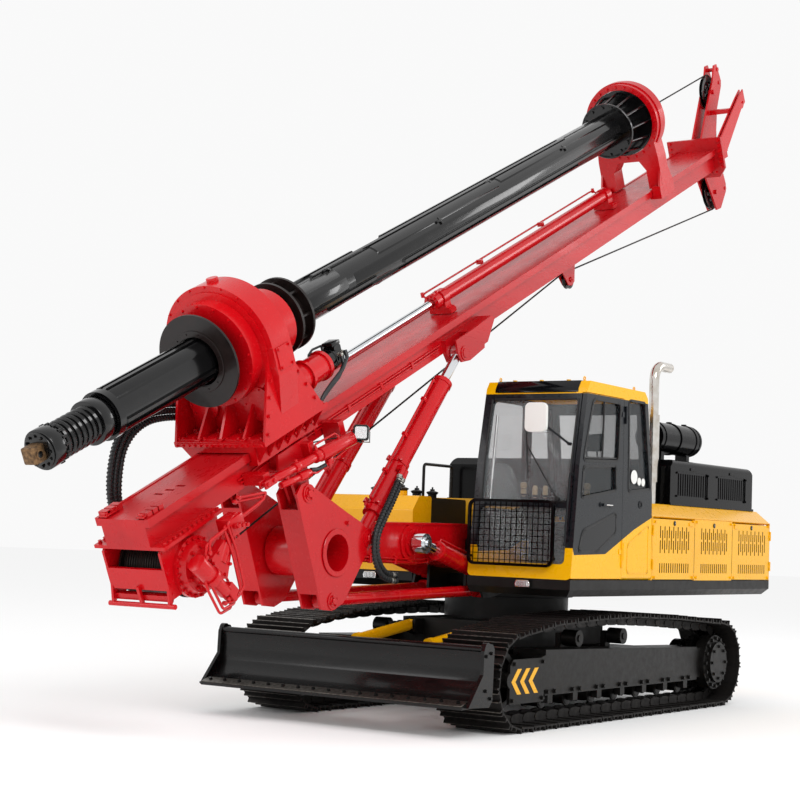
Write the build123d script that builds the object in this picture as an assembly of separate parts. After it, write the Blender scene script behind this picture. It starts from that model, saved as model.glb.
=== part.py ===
from build123d import *
from math import copysign, cos, hypot, pi, radians, sin, tan
import os

os.makedirs("parts", exist_ok=True)

# Rotary piling rig on a crawler base, in millimetres. X points forward, Y to the cab side and Z up.
# The origin is on the slew axis at ground level.

# Crawler base
TRACK_Y = 988  # centre line of each track
SHOE_WIDTH = 600
SHOE_COUNT = 53
IDLER = (1880, 400)  # x, z of the front idler, and of the rear sprocket
SPROCKET = (-1935, 410)
CARRIERS = ((538, 689), (-289, 689))
CARRIER_RADIUS = 70
ROLLER_XS = (-1380, -950, -520, -90, 340, 770, 1200)
ROLLER_RADIUS = 78
ROLLER_Z = 142 + ROLLER_RADIUS  # the rollers run on the chain inside the shoes
FRAME_INNER, FRAME_OUTER = 840, 1150
BODY_HALF = 520  # half width of the car body
RING_TOP = 1000
BLADE_HALF = 1299
BLADE_PIN = (1150, 560)
BLADE_ARM = (590, 640)  # inner and outer face of each push arm
LIFT_Y = 360
LIFT_FOOT, LIFT_HEAD = (1005, 740), (2310, 560)

# Upper structure
DECK_BOTTOM, SKIRT_Z, DECK_TOP = 1058, 1115, 1196
SIDE_Y = 1352
TAIL_X = -2846
PANEL_XS = (-201, -1073, -1925, TAIL_X)
CHAMFER_Z, COVER_Z, COVER_Y = 1759, 1877, 1203
HOOD_Y = 1200
CAB_INNER_Y, CAB_FRONT = 370, 1291
# hinge lines as x, y, and where each barrel starts
CAB_HINGE, CAB_HINGE_ZS = (385, SIDE_Y + 10), (1362, 2532)
FRONT_HINGE, REAR_HINGE = (PANEL_XS[0] - 2, SIDE_Y + 6), (TAIL_X + 2, SIDE_Y + 6)
DOOR_HINGE_ZS = (1290, 1590)

# Boom, links and bracket: pins as x, z
BOOM_REAR = (907, 1426)
BOOM_FRONT = (3177, 1357)
LINK_REAR = (930, 1064)
LUFF_FOOT = (880, 1205)
LUFF_HEAD = (1870, 1447)
LINK_FRONT = (LINK_REAR[0] + BOOM_FRONT[0] - BOOM_REAR[0], LINK_REAR[1] + BOOM_FRONT[1] - BOOM_REAR[1])
APEX = (3556, 1789)
TILT_FOOT = (2764, 1477)
BOOM_HALF, BOOM_EYE = 165, 190
LINK_Y = 277
LUFF_Y = 281
TILT_Y = 286
BRACKET_INNER, BRACKET_OUTER = 180, 374
PLATE = 20

# Mast: stations run up it from its foot, heights stand off the face of its rails
MAST_FOOT = (5159, 1547)
MAST_LEAN = 25.75
MAST_LENGTH = 9965
RAIL_HALF = 241
BOX_HALF = 198
MAST_DEPTH = 230
KELLY_N = 715
HINGE = (1549, -478)
TILT_HEAD = (4030, -262)
HEAD_SHEAVE = (MAST_LENGTH + 545, 530)
LOWER_SHEAVE = (MAST_LENGTH + 185, -530)
AUX_SHEAVE = (MAST_LENGTH + 727, 343)
IDLER_SHEAVE = (6600, -420)
GUIDE = MAST_LENGTH - 1665  # station of the kelly's guide
CROWD, CROWD_N = (4214, 7690), 135  # ends of the crowd cylinder, and its height
HEAD_HALF = 425  # half width of the power head's base
AUX_Y = 300
SHEAVE_RADIUS = 185
DRUM = (284, -476)

# Hoses as x, y, z of each corner, and the x, z step from one hose to the next
FEED_HOSE, FEED_COUNT = 20, 3
FEED_ROUTE = (
    (4193, -220, 1846, 50, -24), (4192, -300, 1838, 50, -22), (4196, -385, 1770, 49, -12),
    (4212, -445, 1660, 48, 6),
    (4300, -485, 1540, 37, 34), (4440, -512, 1478, 14, 49), (4590, -528, 1505, -14, 49),
    (4690, -530, 1610, -37, 34),
    (4725, -530, 1755, -49, 8), (4722, -530, 1910, -50, -4), (4695, -528, 2060, -48, -12),
    (4625, -524, 2195, -42, -28),
    (4515, -519, 2300, -31, -40), (4375, -516, 2370, -18, -47), (4225, -514, 2405, -8, -50),
    (4085, -512, 2420, 0, -50),
    (4000, -510, 2424, 0, -50), (3960, -486, 2427, 0, -50), (3951, -446, 2428, 0, -50),
)
TILT_HOSE, TILT_COUNT = 18, 2
TILT_ROUTE = (
    (2362, 400, 1949, 34, 29), (2440, 412, 1857, 34, 29), (2530, 424, 1752, 35, 28),
    (2630, 432, 1635, 36, 27),
    (2715, 436, 1522, 40, 21), (2736, 436, 1424, 45, 2), (2713, 434, 1327, 42, -17),
    (2652, 431, 1248, 28, -36),
    (2563, 428, 1201, 12, -44), (2464, 426, 1196, 1, -45),
)

UP = (-cos(radians(MAST_LEAN)), sin(radians(MAST_LEAN)))
OUT = (sin(radians(MAST_LEAN)), cos(radians(MAST_LEAN)))


def at(station, height):
    """x, z of a place on the mast."""
    return (
        MAST_FOOT[0] + station * UP[0] + height * OUT[0],
        MAST_FOOT[1] + station * UP[1] + height * OUT[1],
    )


def block(x, y, z):
    """A box from three (low, high) pairs."""
    middle = [(low + high) / 2 for low, high in (x, y, z)]
    return Pos(*middle) * Box(x[1] - x[0], y[1] - y[0], z[1] - z[0])


def slab(points, y0, y1):
    """The outline of (x, z) points, from y0 to y1."""
    face = make_face(Polyline(*[(x, y0, z) for x, z in points], close=True))
    return extrude(face, y1 - y0, dir=(0, 1, 0))


def sheet(points, z0, z1):
    """The outline of (x, y) points, from z0 to z1."""
    face = make_face(Polyline(*[(x, y, z0) for x, y in points], close=True))
    return extrude(face, z1 - z0, dir=(0, 0, 1))


def section(points, x0, x1):
    """The outline of (y, z) points, from x0 to x1."""
    face = make_face(Polyline(*[(x0, y, z) for y, z in points], close=True))
    return extrude(face, x1 - x0, dir=(1, 0, 0))


def rod(start, end, radius, bore=0):
    """A round bar between two (x, y, z) points, or a tube with a bore."""
    axis = Vector(*end) - Vector(*start)
    face = Plane(origin=start, z_dir=axis) * Circle(radius)
    if bore:
        face -= Plane(origin=start, z_dir=axis) * Circle(bore)
    return extrude(face, axis.length, dir=axis.normalized())


def across(place, radius, y0, y1, bore=0):
    """A round bar or tube along Y at an (x, z) place."""
    return rod((place[0], y0, place[1]), (place[0], y1, place[1]), radius, bore)


def mast_slab(points, y0, y1):
    """The outline of (station, height) points, from y0 to y1."""
    return slab([at(*point) for point in points], y0, y1)


def mast_block(station, y, height):
    corners = [(station[i], height[j]) for i, j in ((0, 0), (1, 0), (1, 1), (0, 1))]
    return mast_slab(corners, *y)


def mast_rod(start, end, radius, bore=0):
    """A bar between two (station, y, height) points."""
    (s0, y0, n0), (s1, y1, n1) = start, end
    (x0, z0), (x1, z1) = at(s0, n0), at(s1, n1)
    return rod((x0, y0, z0), (x1, y1, z1), radius, bore)


def mast_section(points, s0, s1):
    """The outline of (y, height) points square to the mast, from station s0 to s1."""
    corners = [(at(s0, n)[0], y, at(s0, n)[1]) for y, n in points]
    face = make_face(Polyline(*corners, close=True))
    return extrude(face, s1 - s0, dir=(UP[0], 0, UP[1]))


def kelly_rod(s0, s1, radius, bore=0):
    """A bar or tube on the kelly's axis."""
    return mast_rod((s0, 0, KELLY_N), (s1, 0, KELLY_N), radius, bore)


def both(shape):
    """The shape and its mirror image on the other side."""
    return shape + mirror(shape, about=Plane.XZ)


def joined(shapes):
    total = shapes[0]
    for shape in shapes[1:]:
        total = total + shape
    return total


def along(start, end, distance):
    """The x, z point so far from start towards end."""
    length = hypot(end[0] - start[0], end[1] - start[1])
    return tuple(a + (b - a) * distance / length for a, b in zip(start, end))


def drilled(shape, pin, radius, y):
    """The shape with a bore along Y for a pin, cut right through at one side of the machine."""
    return shape - across(pin, radius, y - 120, y + 120)


def save(shape, node):
    export_step(shape, f"parts/{node}.step")


# Crawler base ---------------------------------------------------------------------------------


def track_path():
    """Points on the ground side of the shoes round one track, about a shoe's pitch apart."""
    outer_idler, outer_sprocket = IDLER[1], SPROCKET[1]
    # x, z along the top run from the idler to the sprocket
    top = ((1324, 872), (632, 904), (-60, 914), (-935, 882))
    front_turn = [(IDLER[0], 0)]
    for angle in range(-80, 76, 10):
        front_turn.append(
            (IDLER[0] + outer_idler * cos(radians(angle)), IDLER[1] + outer_idler * sin(radians(angle)))
        )
    rear_turn = []
    for angle in range(90, 271, 10):
        rear_turn.append(
            (
                SPROCKET[0] + outer_sprocket * cos(radians(angle)),
                SPROCKET[1] + outer_sprocket * sin(radians(angle)),
            )
        )
    return front_turn + list(top) + rear_turn


def walk(path, count):
    """count places evenly spaced round a closed path, each x, z and the way it runs."""
    closed = path + [path[0]]
    spans = [hypot(b[0] - a[0], b[1] - a[1]) for a, b in zip(closed, closed[1:])]
    pitch = sum(spans) / count
    places = []
    for k in range(count):
        left = (k + 0.5) * pitch
        for (a, b), span in zip(zip(closed, closed[1:]), spans):
            if left <= span:
                places.append((a[0] + (b[0] - a[0]) * left / span, a[1] + (b[1] - a[1]) * left / span))
                break
            left -= span
    return places, pitch


def track_loop(side):
    grouser, shoe, link = 34, 30, 78  # thickness of each layer, from the ground inwards
    places, pitch = walk(track_path(), SHOE_COUNT)
    outer, band, inner = [], [], []
    for k, (x, z) in enumerate(places):
        before, after = places[k - 1], places[(k + 1) % SHOE_COUNT]
        run = (after[0] - before[0], after[1] - before[1])
        length = hypot(*run)
        ux, uz = run[0] / length, run[1] / length
        # along the shoe, inwards from its grousers' tips: three grousers, the rear one the tallest
        profile = (
            (-0.45, grouser), (-0.43, 0), (-0.38, 0), (-0.34, grouser),
            (-0.06, grouser), (0.0, 8), (0.06, grouser),
            (0.29, grouser), (0.35, 8), (0.41, grouser), (0.45, grouser),
        )
        for share, depth in profile:
            u = share * pitch
            outer.append((x + ux * u - uz * depth, z + uz * u + ux * depth))
        band.append((x - uz * (grouser + shoe), z + ux * (grouser + shoe)))
        inner.append((x - uz * (grouser + shoe + link), z + ux * (grouser + shoe + link)))
    low, high = side * TRACK_Y - SHOE_WIDTH / 2, side * TRACK_Y + SHOE_WIDTH / 2
    shoes = slab(outer, low, high) - slab(band, low, high)
    chain = slab(band, side * TRACK_Y - 95, side * TRACK_Y + 95)
    chain -= slab(inner, side * TRACK_Y - 95, side * TRACK_Y + 95)
    return shoes + chain


def undercarriage():
    low, front, rear = 255, 1290, -1630
    outline = [(rear, low), (front, low), (front, 624), (rear, 561)]
    outer_plate = slab(outline, FRAME_OUTER - 60, FRAME_OUTER)
    for x0, x1 in ((-1180, -620), (640, 1080)):
        window = [(x0, 400), (x1, 400), (x1, 520), (x0, 520)]
        outer_plate -= rounded(window, FRAME_OUTER - 20, FRAME_OUTER + 5, 40)
    inner_plate = slab(outline, FRAME_INNER, FRAME_INNER + 50)
    lid = slab([(rear, 330), (front, 330), (front, 624), (rear, 561)], FRAME_INNER, FRAME_OUTER)
    lid -= slab(
        [(rear + 30, 350), (front - 30, 350), (front - 30, 594), (rear + 30, 531)], FRAME_INNER + 50,
        FRAME_OUTER - 60,
    )
    # fork that carries the idler, the guard plate outside it and the arm to the final drive
    yoke = [(front, 300), (IDLER[0] + 50, IDLER[1] - 50), (IDLER[0] + 50, IDLER[1] + 50), (front, 580)]
    fork = slab(yoke, FRAME_OUTER - 70, FRAME_OUTER) + slab(yoke, FRAME_INNER, FRAME_INNER + 50)
    guard = slab(
        [(1354, 215), (1897, 215), (1897, 520), (1850, 565), (1354, 565)], FRAME_OUTER, FRAME_OUTER + 25,
    )
    arm = [(rear, 280), (SPROCKET[0], 250), (SPROCKET[0], 570), (rear, 545)]
    drive_arm = slab(arm, FRAME_OUTER - 50, FRAME_OUTER) + slab(arm, FRAME_INNER, FRAME_INNER + 50)
    drive = across(SPROCKET, 255, FRAME_OUTER - 65, FRAME_OUTER + 45)
    drive += across(SPROCKET, 190, FRAME_OUTER + 45, FRAME_OUTER + 85)
    drive += across(SPROCKET, 200, FRAME_INNER - 60, FRAME_INNER + 65)
    side = outer_plate + inner_plate + lid + fork + guard + drive_arm + drive
    # the axles of the rollers with their saddles, and the posts of the carrier rollers
    for x in ROLLER_XS:
        side += across((x, ROLLER_Z), 28, FRAME_INNER, FRAME_OUTER)
        side += block((x - 40, x + 40), (FRAME_INNER, FRAME_INNER + 50), (190, 260))
        side += block((x - 40, x + 40), (FRAME_OUTER - 60, FRAME_OUTER), (190, 260))
    for x, z in CARRIERS:
        side += across((x, z), 30, FRAME_INNER, FRAME_OUTER - 90)
        side += block((x - 45, x + 45), (FRAME_INNER, FRAME_INNER + 50), (570, z + 40))
    side += across(IDLER, 35, FRAME_INNER, FRAME_OUTER)
    # cross beams and the car body
    for x0, x1 in ((-850, -420), (420, 850)):
        side += block((x0, x1), (BODY_HALF - 20, FRAME_INNER + 20), (330, 580))
    body = block((-900, 900), (-BODY_HALF, BODY_HALF), (430, 800))
    body -= block((-860, 860), (-BODY_HALF + 30, BODY_HALF - 30), (400, 770))
    ring = rod((0, 0, 780), (0, 0, RING_TOP), 560, 430)
    frame = both(side) + body + ring
    # ears of the blade's push arms and of its lift cylinders
    ear_y = BLADE_ARM[0] - 45, BLADE_ARM[0] - 10
    x, z = BLADE_PIN
    ear = slab([(860, 470), (x, 500), (x + 55, z), (x, 620), (860, 760)], *ear_y)
    ear += block((860, 900), (BODY_HALF - 20, ear_y[1]), (470, 760))
    ear += across(BLADE_PIN, 28, ear_y[0], BLADE_ARM[1] + 12)
    foot = [(880, 640), (1040, 680), (1040, 790), (880, 790)]
    cheeks = slab(foot, LIFT_Y - 60, LIFT_Y - 35) + slab(foot, LIFT_Y + 35, LIFT_Y + 60)
    cheeks += across(LIFT_FOOT, 22, LIFT_Y - 60, LIFT_Y + 60)
    return frame + both(ear) + both(cheeks)


def running_gear():
    """Bottom rollers, carrier rollers, idlers and sprockets of both tracks."""
    wheels = []
    inner, outer = FRAME_INNER + 60, FRAME_OUTER - 74
    for x in ROLLER_XS:
        place = (x, ROLLER_Z)
        roller = across(place, ROLLER_RADIUS - 12, inner, outer, 28.5)
        roller += across(place, ROLLER_RADIUS, inner + 5, inner + 25, 28.5)
        roller += across(place, ROLLER_RADIUS, outer - 25, outer - 5, 28.5)
        wheels.append(roller)
    for place in CARRIERS:
        wheels.append(across(place, CARRIER_RADIUS, inner + 10, outer - 26, 30.5))
    idler = across(IDLER, 238, inner, outer - 6, 36)
    idler -= across(IDLER, 190, inner, inner + 30, 80) + across(IDLER, 190, outer - 36, outer - 6, 80)
    wheels.append(idler)
    teeth = 21
    outline = []
    for k in range(teeth):
        for share, radius in ((-0.3, 226), (-0.12, 250), (0.12, 250), (0.3, 226)):
            turn = 2 * pi * (k + share) / teeth
            outline.append((SPROCKET[0] + radius * cos(turn), SPROCKET[1] + radius * sin(turn)))
    wheels.append(slab(outline, TRACK_Y - 28, TRACK_Y + 28))
    return both(joined(wheels))


def dozer_blade():
    half, y = BLADE_HALF, BLADE_HALF - 30
    # mouldboard: a plate rolled to an arc, down to the cutting edge
    front = ThreePointArc((2476, y, 674), (2462, y, 450), (2620, y, 292)) + Line(
        (2620, y, 292), (2754, y, 251),
    )
    back = Line((2754, y, 251), (2744, y, 236)) + Line((2744, y, 236), (2600, y, 270))
    back += ThreePointArc((2600, y, 270), (2436, y, 440), (2452, y, 674)) + Line(
        (2452, y, 674), (2476, y, 674),
    )
    board = extrude(make_face(front + back), 2 * y, dir=(0, -1, 0))
    bar = slab([(2560, 262), (2754, 251), (2740, 228), (2556, 236)], 40 - half, half - 40)
    profile = [
        (2426, 714), (2480, 708), (2502, 660), (2506, 482), (2707, 243), (2411, 234), (2366, 280),
        (2353, 671), (2380, 706),
    ]
    end = slab(profile, half - 30, half) + rod((2450, half - 42, 688), (2450, half, 688), 34)
    top = rod((2462, 30 - half, 672), (2462, half - 30, 672), 24)
    ribs = [
        slab([(2380, 300), (2470, 300), (2450, 640), (2380, 560)], y - 10, y + 10)
        for y in (-900, -450, 0, 450, 900)
    ]
    beam = slab([(2378, 300), (2446, 300), (2446, 480), (2378, 480)], -900, 900)
    x, z = BLADE_PIN
    arm = slab([(x, z - 60), (2400, 380), (2400, 520), (1500, 640), (x, z + 60), (x - 60, z)], *BLADE_ARM)
    arm -= across(BLADE_PIN, 29, *BLADE_ARM)
    lug = [(2390, 480), (2300, 500), (2262, 560), (2300, 610), (2390, 640)]
    ears = slab(lug, LIFT_Y - 60, LIFT_Y - 35) + slab(lug, LIFT_Y + 35, LIFT_Y + 60)
    ears += across(LIFT_HEAD, 40, LIFT_Y + 60, LIFT_Y + 68) + across(LIFT_HEAD, 40, LIFT_Y - 68, LIFT_Y - 60)
    ears += block((2378, 2400), (LIFT_Y - 60, LIFT_Y + 60), (480, 600))
    return board + bar + both(end) + top + joined(ribs) + beam + both(arm) + both(ears)


def blade_barrels():
    foot, head = LIFT_FOOT, LIFT_HEAD
    tube = rod_xz(along(foot, head, 60), along(foot, head, 820), LIFT_Y, 48)
    tube += across(foot, 42, LIFT_Y - 25, LIFT_Y + 25) + rod_xz(foot, along(foot, head, 70), LIFT_Y, 24)
    tube += rod_xz(along(foot, head, 790), along(foot, head, 840), LIFT_Y, 56)
    tube -= rod_xz(along(foot, head, 300), along(foot, head, 900), LIFT_Y, 27)
    return both(drilled(tube, foot, 23, LIFT_Y))


def blade_rods():
    """Rods with their pins, which end between the blade's ears."""
    shape = rod_xz(along(LIFT_FOOT, LIFT_HEAD, 520), LIFT_HEAD, LIFT_Y, 26)
    return both(shape + across(LIFT_HEAD, 40, LIFT_Y - 30, LIFT_Y + 30))


def rod_xz(start, end, y, radius, bore=0):
    """A bar at one y between two x, z points."""
    return rod((start[0], y, start[1]), (end[0], y, end[1]), radius, bore)


# Upper structure --------------------------------------------------------------------------------


def upper_frame():
    right_front, gap_front = 1010, 700
    outline = [
        (CAB_FRONT, CAB_INNER_Y), (CAB_FRONT, SIDE_Y), (TAIL_X, SIDE_Y), (TAIL_X, -SIDE_Y),
        (right_front, -SIDE_Y),
        (right_front, -CAB_INNER_Y), (gap_front, -CAB_INNER_Y), (gap_front, CAB_INNER_Y),
    ]
    skirt = [(x - copysign(55, x), y - copysign(55, y) if abs(y) == SIDE_Y else y) for x, y in outline]
    deck = sheet(outline, SKIRT_Z, DECK_TOP)
    deck += loft([lower_face(skirt, DECK_BOTTOM), lower_face(outline, SKIRT_Z)])
    inner = [
        (x - copysign(60, x), y - copysign(60, y) if abs(y) == SIDE_Y else y + copysign(30, y)) for x,
        y in outline
    ]
    deck -= sheet(inner, DECK_BOTTOM, DECK_TOP - 14)
    deck += rod((0, 0, RING_TOP + 6), (0, 0, DECK_TOP), 600, 540)
    beam = block((TAIL_X + 80, gap_front), (175, 215), (DECK_BOTTOM + 6, DECK_TOP))
    # inner ears carry the boom, inner and outer ears the links and the luff cylinders
    inner_ear = slab(
        [(150, 1190), (700, 1560), (820, 1600), (960, 1570), (1020, 1480), (1035, 1064), (1000, 1004),
         (870, 1004), (700, 1064), (150, 1100)],
        175, 200,
    )
    outer_ear = slab(
        [(560, 1190), (820, 1280), (940, 1270), (985, 1215), (1035, 1064), (1000, 1004), (870, 1004),
         (560, 1064)],
        340, 362,
    )
    pins = across(LINK_REAR, 30, 175, 362) + across(LUFF_FOOT, 32, 175, 362)
    cross = block((560, 690), (175, 362), (DECK_BOTTOM + 6, DECK_TOP))
    shaft = across(BOOM_REAR, 45, -200, 200)
    return deck + both(beam + inner_ear + outer_ear + pins + cross) + shaft


def counterweight():
    outline = [
        (-SIDE_Y + 40, DECK_TOP), (SIDE_Y - 40, DECK_TOP), (SIDE_Y - 40, CHAMFER_Z - 30),
        (COVER_Y - 20, COVER_Z - 40), (20 - COVER_Y, COVER_Z - 40), (40 - SIDE_Y, CHAMFER_Z - 30),
    ]
    return section(outline, TAIL_X, -2500)


def engine_block():
    return block((-2250, -1150), (-450, 450), (DECK_TOP, 1800))


def body_panels():
    """Fixed panels: the top cover, its slanted edges, the middle side panels, hinge posts and bulkhead."""
    wall = 24
    section_points = [
        (SIDE_Y - wall, CHAMFER_Z - 12), (SIDE_Y, CHAMFER_Z), (COVER_Y, COVER_Z), (-COVER_Y, COVER_Z),
        (-SIDE_Y, CHAMFER_Z), (wall - SIDE_Y, CHAMFER_Z - 12), (-COVER_Y + 8, COVER_Z - wall),
        (COVER_Y - 8, COVER_Z - wall),
    ]
    cover = section(section_points, TAIL_X, PANEL_XS[0] + 15)
    middle = block((PANEL_XS[2] + 4, PANEL_XS[1] - 4), (SIDE_Y - 30, SIDE_Y), (DECK_TOP, CHAMFER_Z - 4))
    middle -= cooling_slots(PANEL_XS[2], PANEL_XS[1])
    middle += block(
        (PANEL_XS[2] + 4, PANEL_XS[1] - 4), (SIDE_Y - 30, SIDE_Y - 6), (CHAMFER_Z - 60, CHAMFER_Z + 8),
    )
    post = block((PANEL_XS[0], PANEL_XS[0] + 15), (SIDE_Y - 60, SIDE_Y), (DECK_TOP, CHAMFER_Z + 4))
    tail_post = block((TAIL_X, TAIL_X + 3), (SIDE_Y - 38, SIDE_Y), (DECK_TOP, CHAMFER_Z + 4))
    for z in DOOR_HINGE_ZS:
        post = with_knuckles(post, FRONT_HINGE, z)
        tail_post = with_knuckles(tail_post, REAR_HINGE, z)
    bulkhead = block((PANEL_XS[0], PANEL_XS[0] + 15), (-SIDE_Y + 10, SIDE_Y - 10), (DECK_TOP, CHAMFER_Z + 4))
    bulkhead += block((PANEL_XS[0], PANEL_XS[0] + 15), (-COVER_Y, COVER_Y), (CHAMFER_Z - 20, COVER_Z))
    return cover + both(middle + post + tail_post) + bulkhead


def service_door(x0, x1):
    """A side door between two panel joints, on the cab side."""
    leaf = block((x0 + 5, x1 - 5), (SIDE_Y - 30, SIDE_Y), (DECK_TOP + 8, CHAMFER_Z - 20))
    leaf -= cooling_slots(x0, x1)
    hinge, reach = (FRONT_HINGE, -26) if x1 == PANEL_XS[0] else (REAR_HINGE, 26)
    for z in DOOR_HINGE_ZS:
        x, y = hinge
        leaf -= rod((x, y, z - 3), (x, y, z + 93), 11)
        barrel = rod((x, y, z + 31), (x, y, z + 59), 9)
        barrel += block((min(x, x + reach), max(x, x + reach)), (SIDE_Y - 4, SIDE_Y + 5), (z + 33, z + 57))
        leaf += barrel - rod((x, y, z), (x, y, z + 90), 4.6)
    latch_x = x0 + 40 if x1 == PANEL_XS[0] else x1 - 130
    return leaf + rounded(
        [(latch_x, 1690), (latch_x + 90, 1690), (latch_x + 90, 1722), (latch_x, 1722)], SIDE_Y, SIDE_Y + 8, 12,
    )


def hood():
    """Louvred cover over the engine, with a ledge round its foot."""
    x0, x1, top, wall = -2740, -850, 2297, 24
    outline = [(x1, COVER_Z), (x1, top - 67), (x1 - 80, top), (x0 + 60, top), (x0, top - 57), (x0, COVER_Z)]
    shell = slab(outline, -HOOD_Y, HOOD_Y)
    edges = shell.edges().filter_by(Axis.X).sort_by(Axis.Z)[-2:]
    shell = fillet(edges, 45)
    shell -= block((x0 + wall, x1 - wall), (wall - HOOD_Y, HOOD_Y - wall), (COVER_Z, top - 80))
    shell += block((x0 - 12, x1 + 12), (-HOOD_Y - 12, HOOD_Y + 12), (COVER_Z, COVER_Z + 22))
    # two groups of upright louvre slots a side, each in a shallow pressed field
    for centre in (-1330, -2230):
        for side in (-1, 1):
            low, high = sorted((side * (HOOD_Y - 8), side * (HOOD_Y + 5)))
            field = [(centre - 345, 1950), (centre + 345, 1950), (centre + 345, 2195), (centre - 345, 2195)]
            shell -= rounded(field, low, high, 25)
            low, high = sorted((side * (HOOD_Y - 40), side * (HOOD_Y + 5)))
            shell -= [
                block((centre - 320 + 50 * k, centre - 294 + 50 * k), (low, high), (1970, 2175))
                for k in range(13)
            ]
    return shell


def air_cleaner():
    barrel = rod((-1750, 950, 2510), (-900, 950, 2510), 145)
    barrel += rod((-1790, 950, 2510), (-1750, 950, 2510), 125) + rod(
        (-1300, 950, 2510), (-1290, 950, 2510), 155,
    )
    legs = joined([block((x, x + 60), (890, 1010), (2297, 2400)) for x in (-1650, -1100)])
    return barrel + legs


def exhaust():
    x, y, bend_z, bend = -780, 1047, 3020, 140
    pipe = rod((x, y, COVER_Z), (x, y, bend_z), 46) + rod((x, y, 2080), (x, y, 2700), 58)
    elbow = Pos(x - bend, y, bend_z) * Rot(90, 0, 0) * Torus(bend, 46)
    elbow &= block((x - bend, x + 60), (y - 60, y + 60), (bend_z, bend_z + bend + 60))
    return pipe + elbow + rod((x - bend, y, bend_z + bend), (x - bend - 170, y, bend_z + bend), 46)


# Cab --------------------------------------------------------------------------------------------

CAB_OUTLINE = [
    (1291, DECK_TOP), (1188, 2137), (1072, 2781), (1030, 2845), (18, 2835), (-40, 2780), (-167, 1934),
    (-186, DECK_TOP),
]
CAB_INSIDE = [
    (1236, 1240), (1134, 2137), (1022, 2760), (1000, 2792), (30, 2785), (10, 2760), (-115, 1934), (-136, 1240),
]
DOOR_OUTLINE = [(413, 2740), (1079, 2740), (1188, 2137), (1283, 1209), (392, 1209)]
# windows as x, z corners
UPPER_PANE = [(970, 2700), (474, 2700), (493, 2203), (1122, 2175)]
MIDDLE_PANE = [(1112, 2130), (532, 2163), (519, 1955), (1136, 1870)]
LOWER_PANE = [(508, 1766), (852, 1430), (1165, 1427), (1097, 1601)]
DOOR_PANES = ((UPPER_PANE, 55), (MIDDLE_PANE, 30), (LOWER_PANE, 45))
QUARTER_PANE = [(318, 2740), (15, 2740), (-130, 1992), (289, 1955)]
INNER_PANE = [(1000, 2700), (430, 2700), (430, 1760), (1160, 1760), (1122, 2175)]
INNER_QUARTER = [(350, 2700), (15, 2700), (-80, 1992), (350, 1955)]
# openings in the slanted front as y, z corners
WINDSCREEN = [(440, 1834), (1282, 1834), (1282, 2690), (440, 2690)]
LOWER_SCREEN = [(440, 1320), (1282, 1320), (1282, 1780), (440, 1780)]
PANE_THICK = 6


def grown(points, gap):
    """The outline pulled in by a gap towards its middle, or pushed out by a negative one."""
    mx = sum(x for x, z in points) / len(points)
    mz = sum(z for x, z in points) / len(points)
    moved = []
    for x, z in points:
        reach = hypot(x - mx, z - mz)
        moved.append((x + (mx - x) * gap / reach, z + (mz - z) * gap / reach))
    return moved


def cab_frame():
    """Hollow cab with its windows cut, the roof's visor and the outer barrels of the door's hinges."""
    shell = slab(CAB_OUTLINE, CAB_INNER_Y, SIDE_Y)
    shell = fillet(shell.edges().filter_by(Axis.X).sort_by(Axis.Z)[-2:], 40)
    shell -= slab(CAB_INSIDE, CAB_INNER_Y + 45, SIDE_Y - 45)
    shell -= slab(grown(DOOR_OUTLINE, -7), SIDE_Y - 50, SIDE_Y + 20)
    shell -= rounded(QUARTER_PANE, SIDE_Y - 60, SIDE_Y + 20, 30)
    # the inner side has two windows, the rear one wide pane
    shell -= rounded(INNER_PANE, CAB_INNER_Y - 20, CAB_INNER_Y + 60, 50)
    shell -= rounded(INNER_QUARTER, CAB_INNER_Y - 20, CAB_INNER_Y + 60, 30)
    shell -= front_opening(WINDSCREEN, 60) + front_opening(LOWER_SCREEN, 40)
    shell -= block((-300, 60), (CAB_INNER_Y + 90, SIDE_Y - 90), (1990, 2640))
    # dark visor let into the front of the roof, and three small lamps' seats above it
    middle = (CAB_INNER_Y + SIDE_Y) / 2
    shell -= slab([(1052, 2745), (1090, 2745), (1060, 2822), (1020, 2822)], CAB_INNER_Y + 110, SIDE_Y - 110)
    shell += slab([(1045, 2745), (1068, 2745), (1040, 2818), (1012, 2818)], CAB_INNER_Y + 115, SIDE_Y - 115)
    for y in (middle - 260, middle, middle + 260):
        shell += rod((990, y, 2835), (990, y, 2862), 18)
    x, y = CAB_HINGE
    for z in CAB_HINGE_ZS:
        shell += rod((x, y, z), (x, y, z + 150), 10) + block(
            (x - 35, x), (SIDE_Y - 2, SIDE_Y + 5), (z, z + 150),
        )
        shell -= rod((x, y, z + 50), (x, y, z + 100), 12)
        shell += rod((x, y, z), (x, y, z + 150), 5)
    return shell


def front_pane(z0, z1):
    """x of the slanted front face's middle, at two heights."""
    def x(z):
        low, high = ((1291, DECK_TOP), (1188, 2137)) if z < 2137 else ((1188, 2137), (1072, 2781))
        return low[0] + (high[0] - low[0]) * (z - low[1]) / (high[1] - low[1]) - 27
    return x(z0), x(z1)


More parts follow.
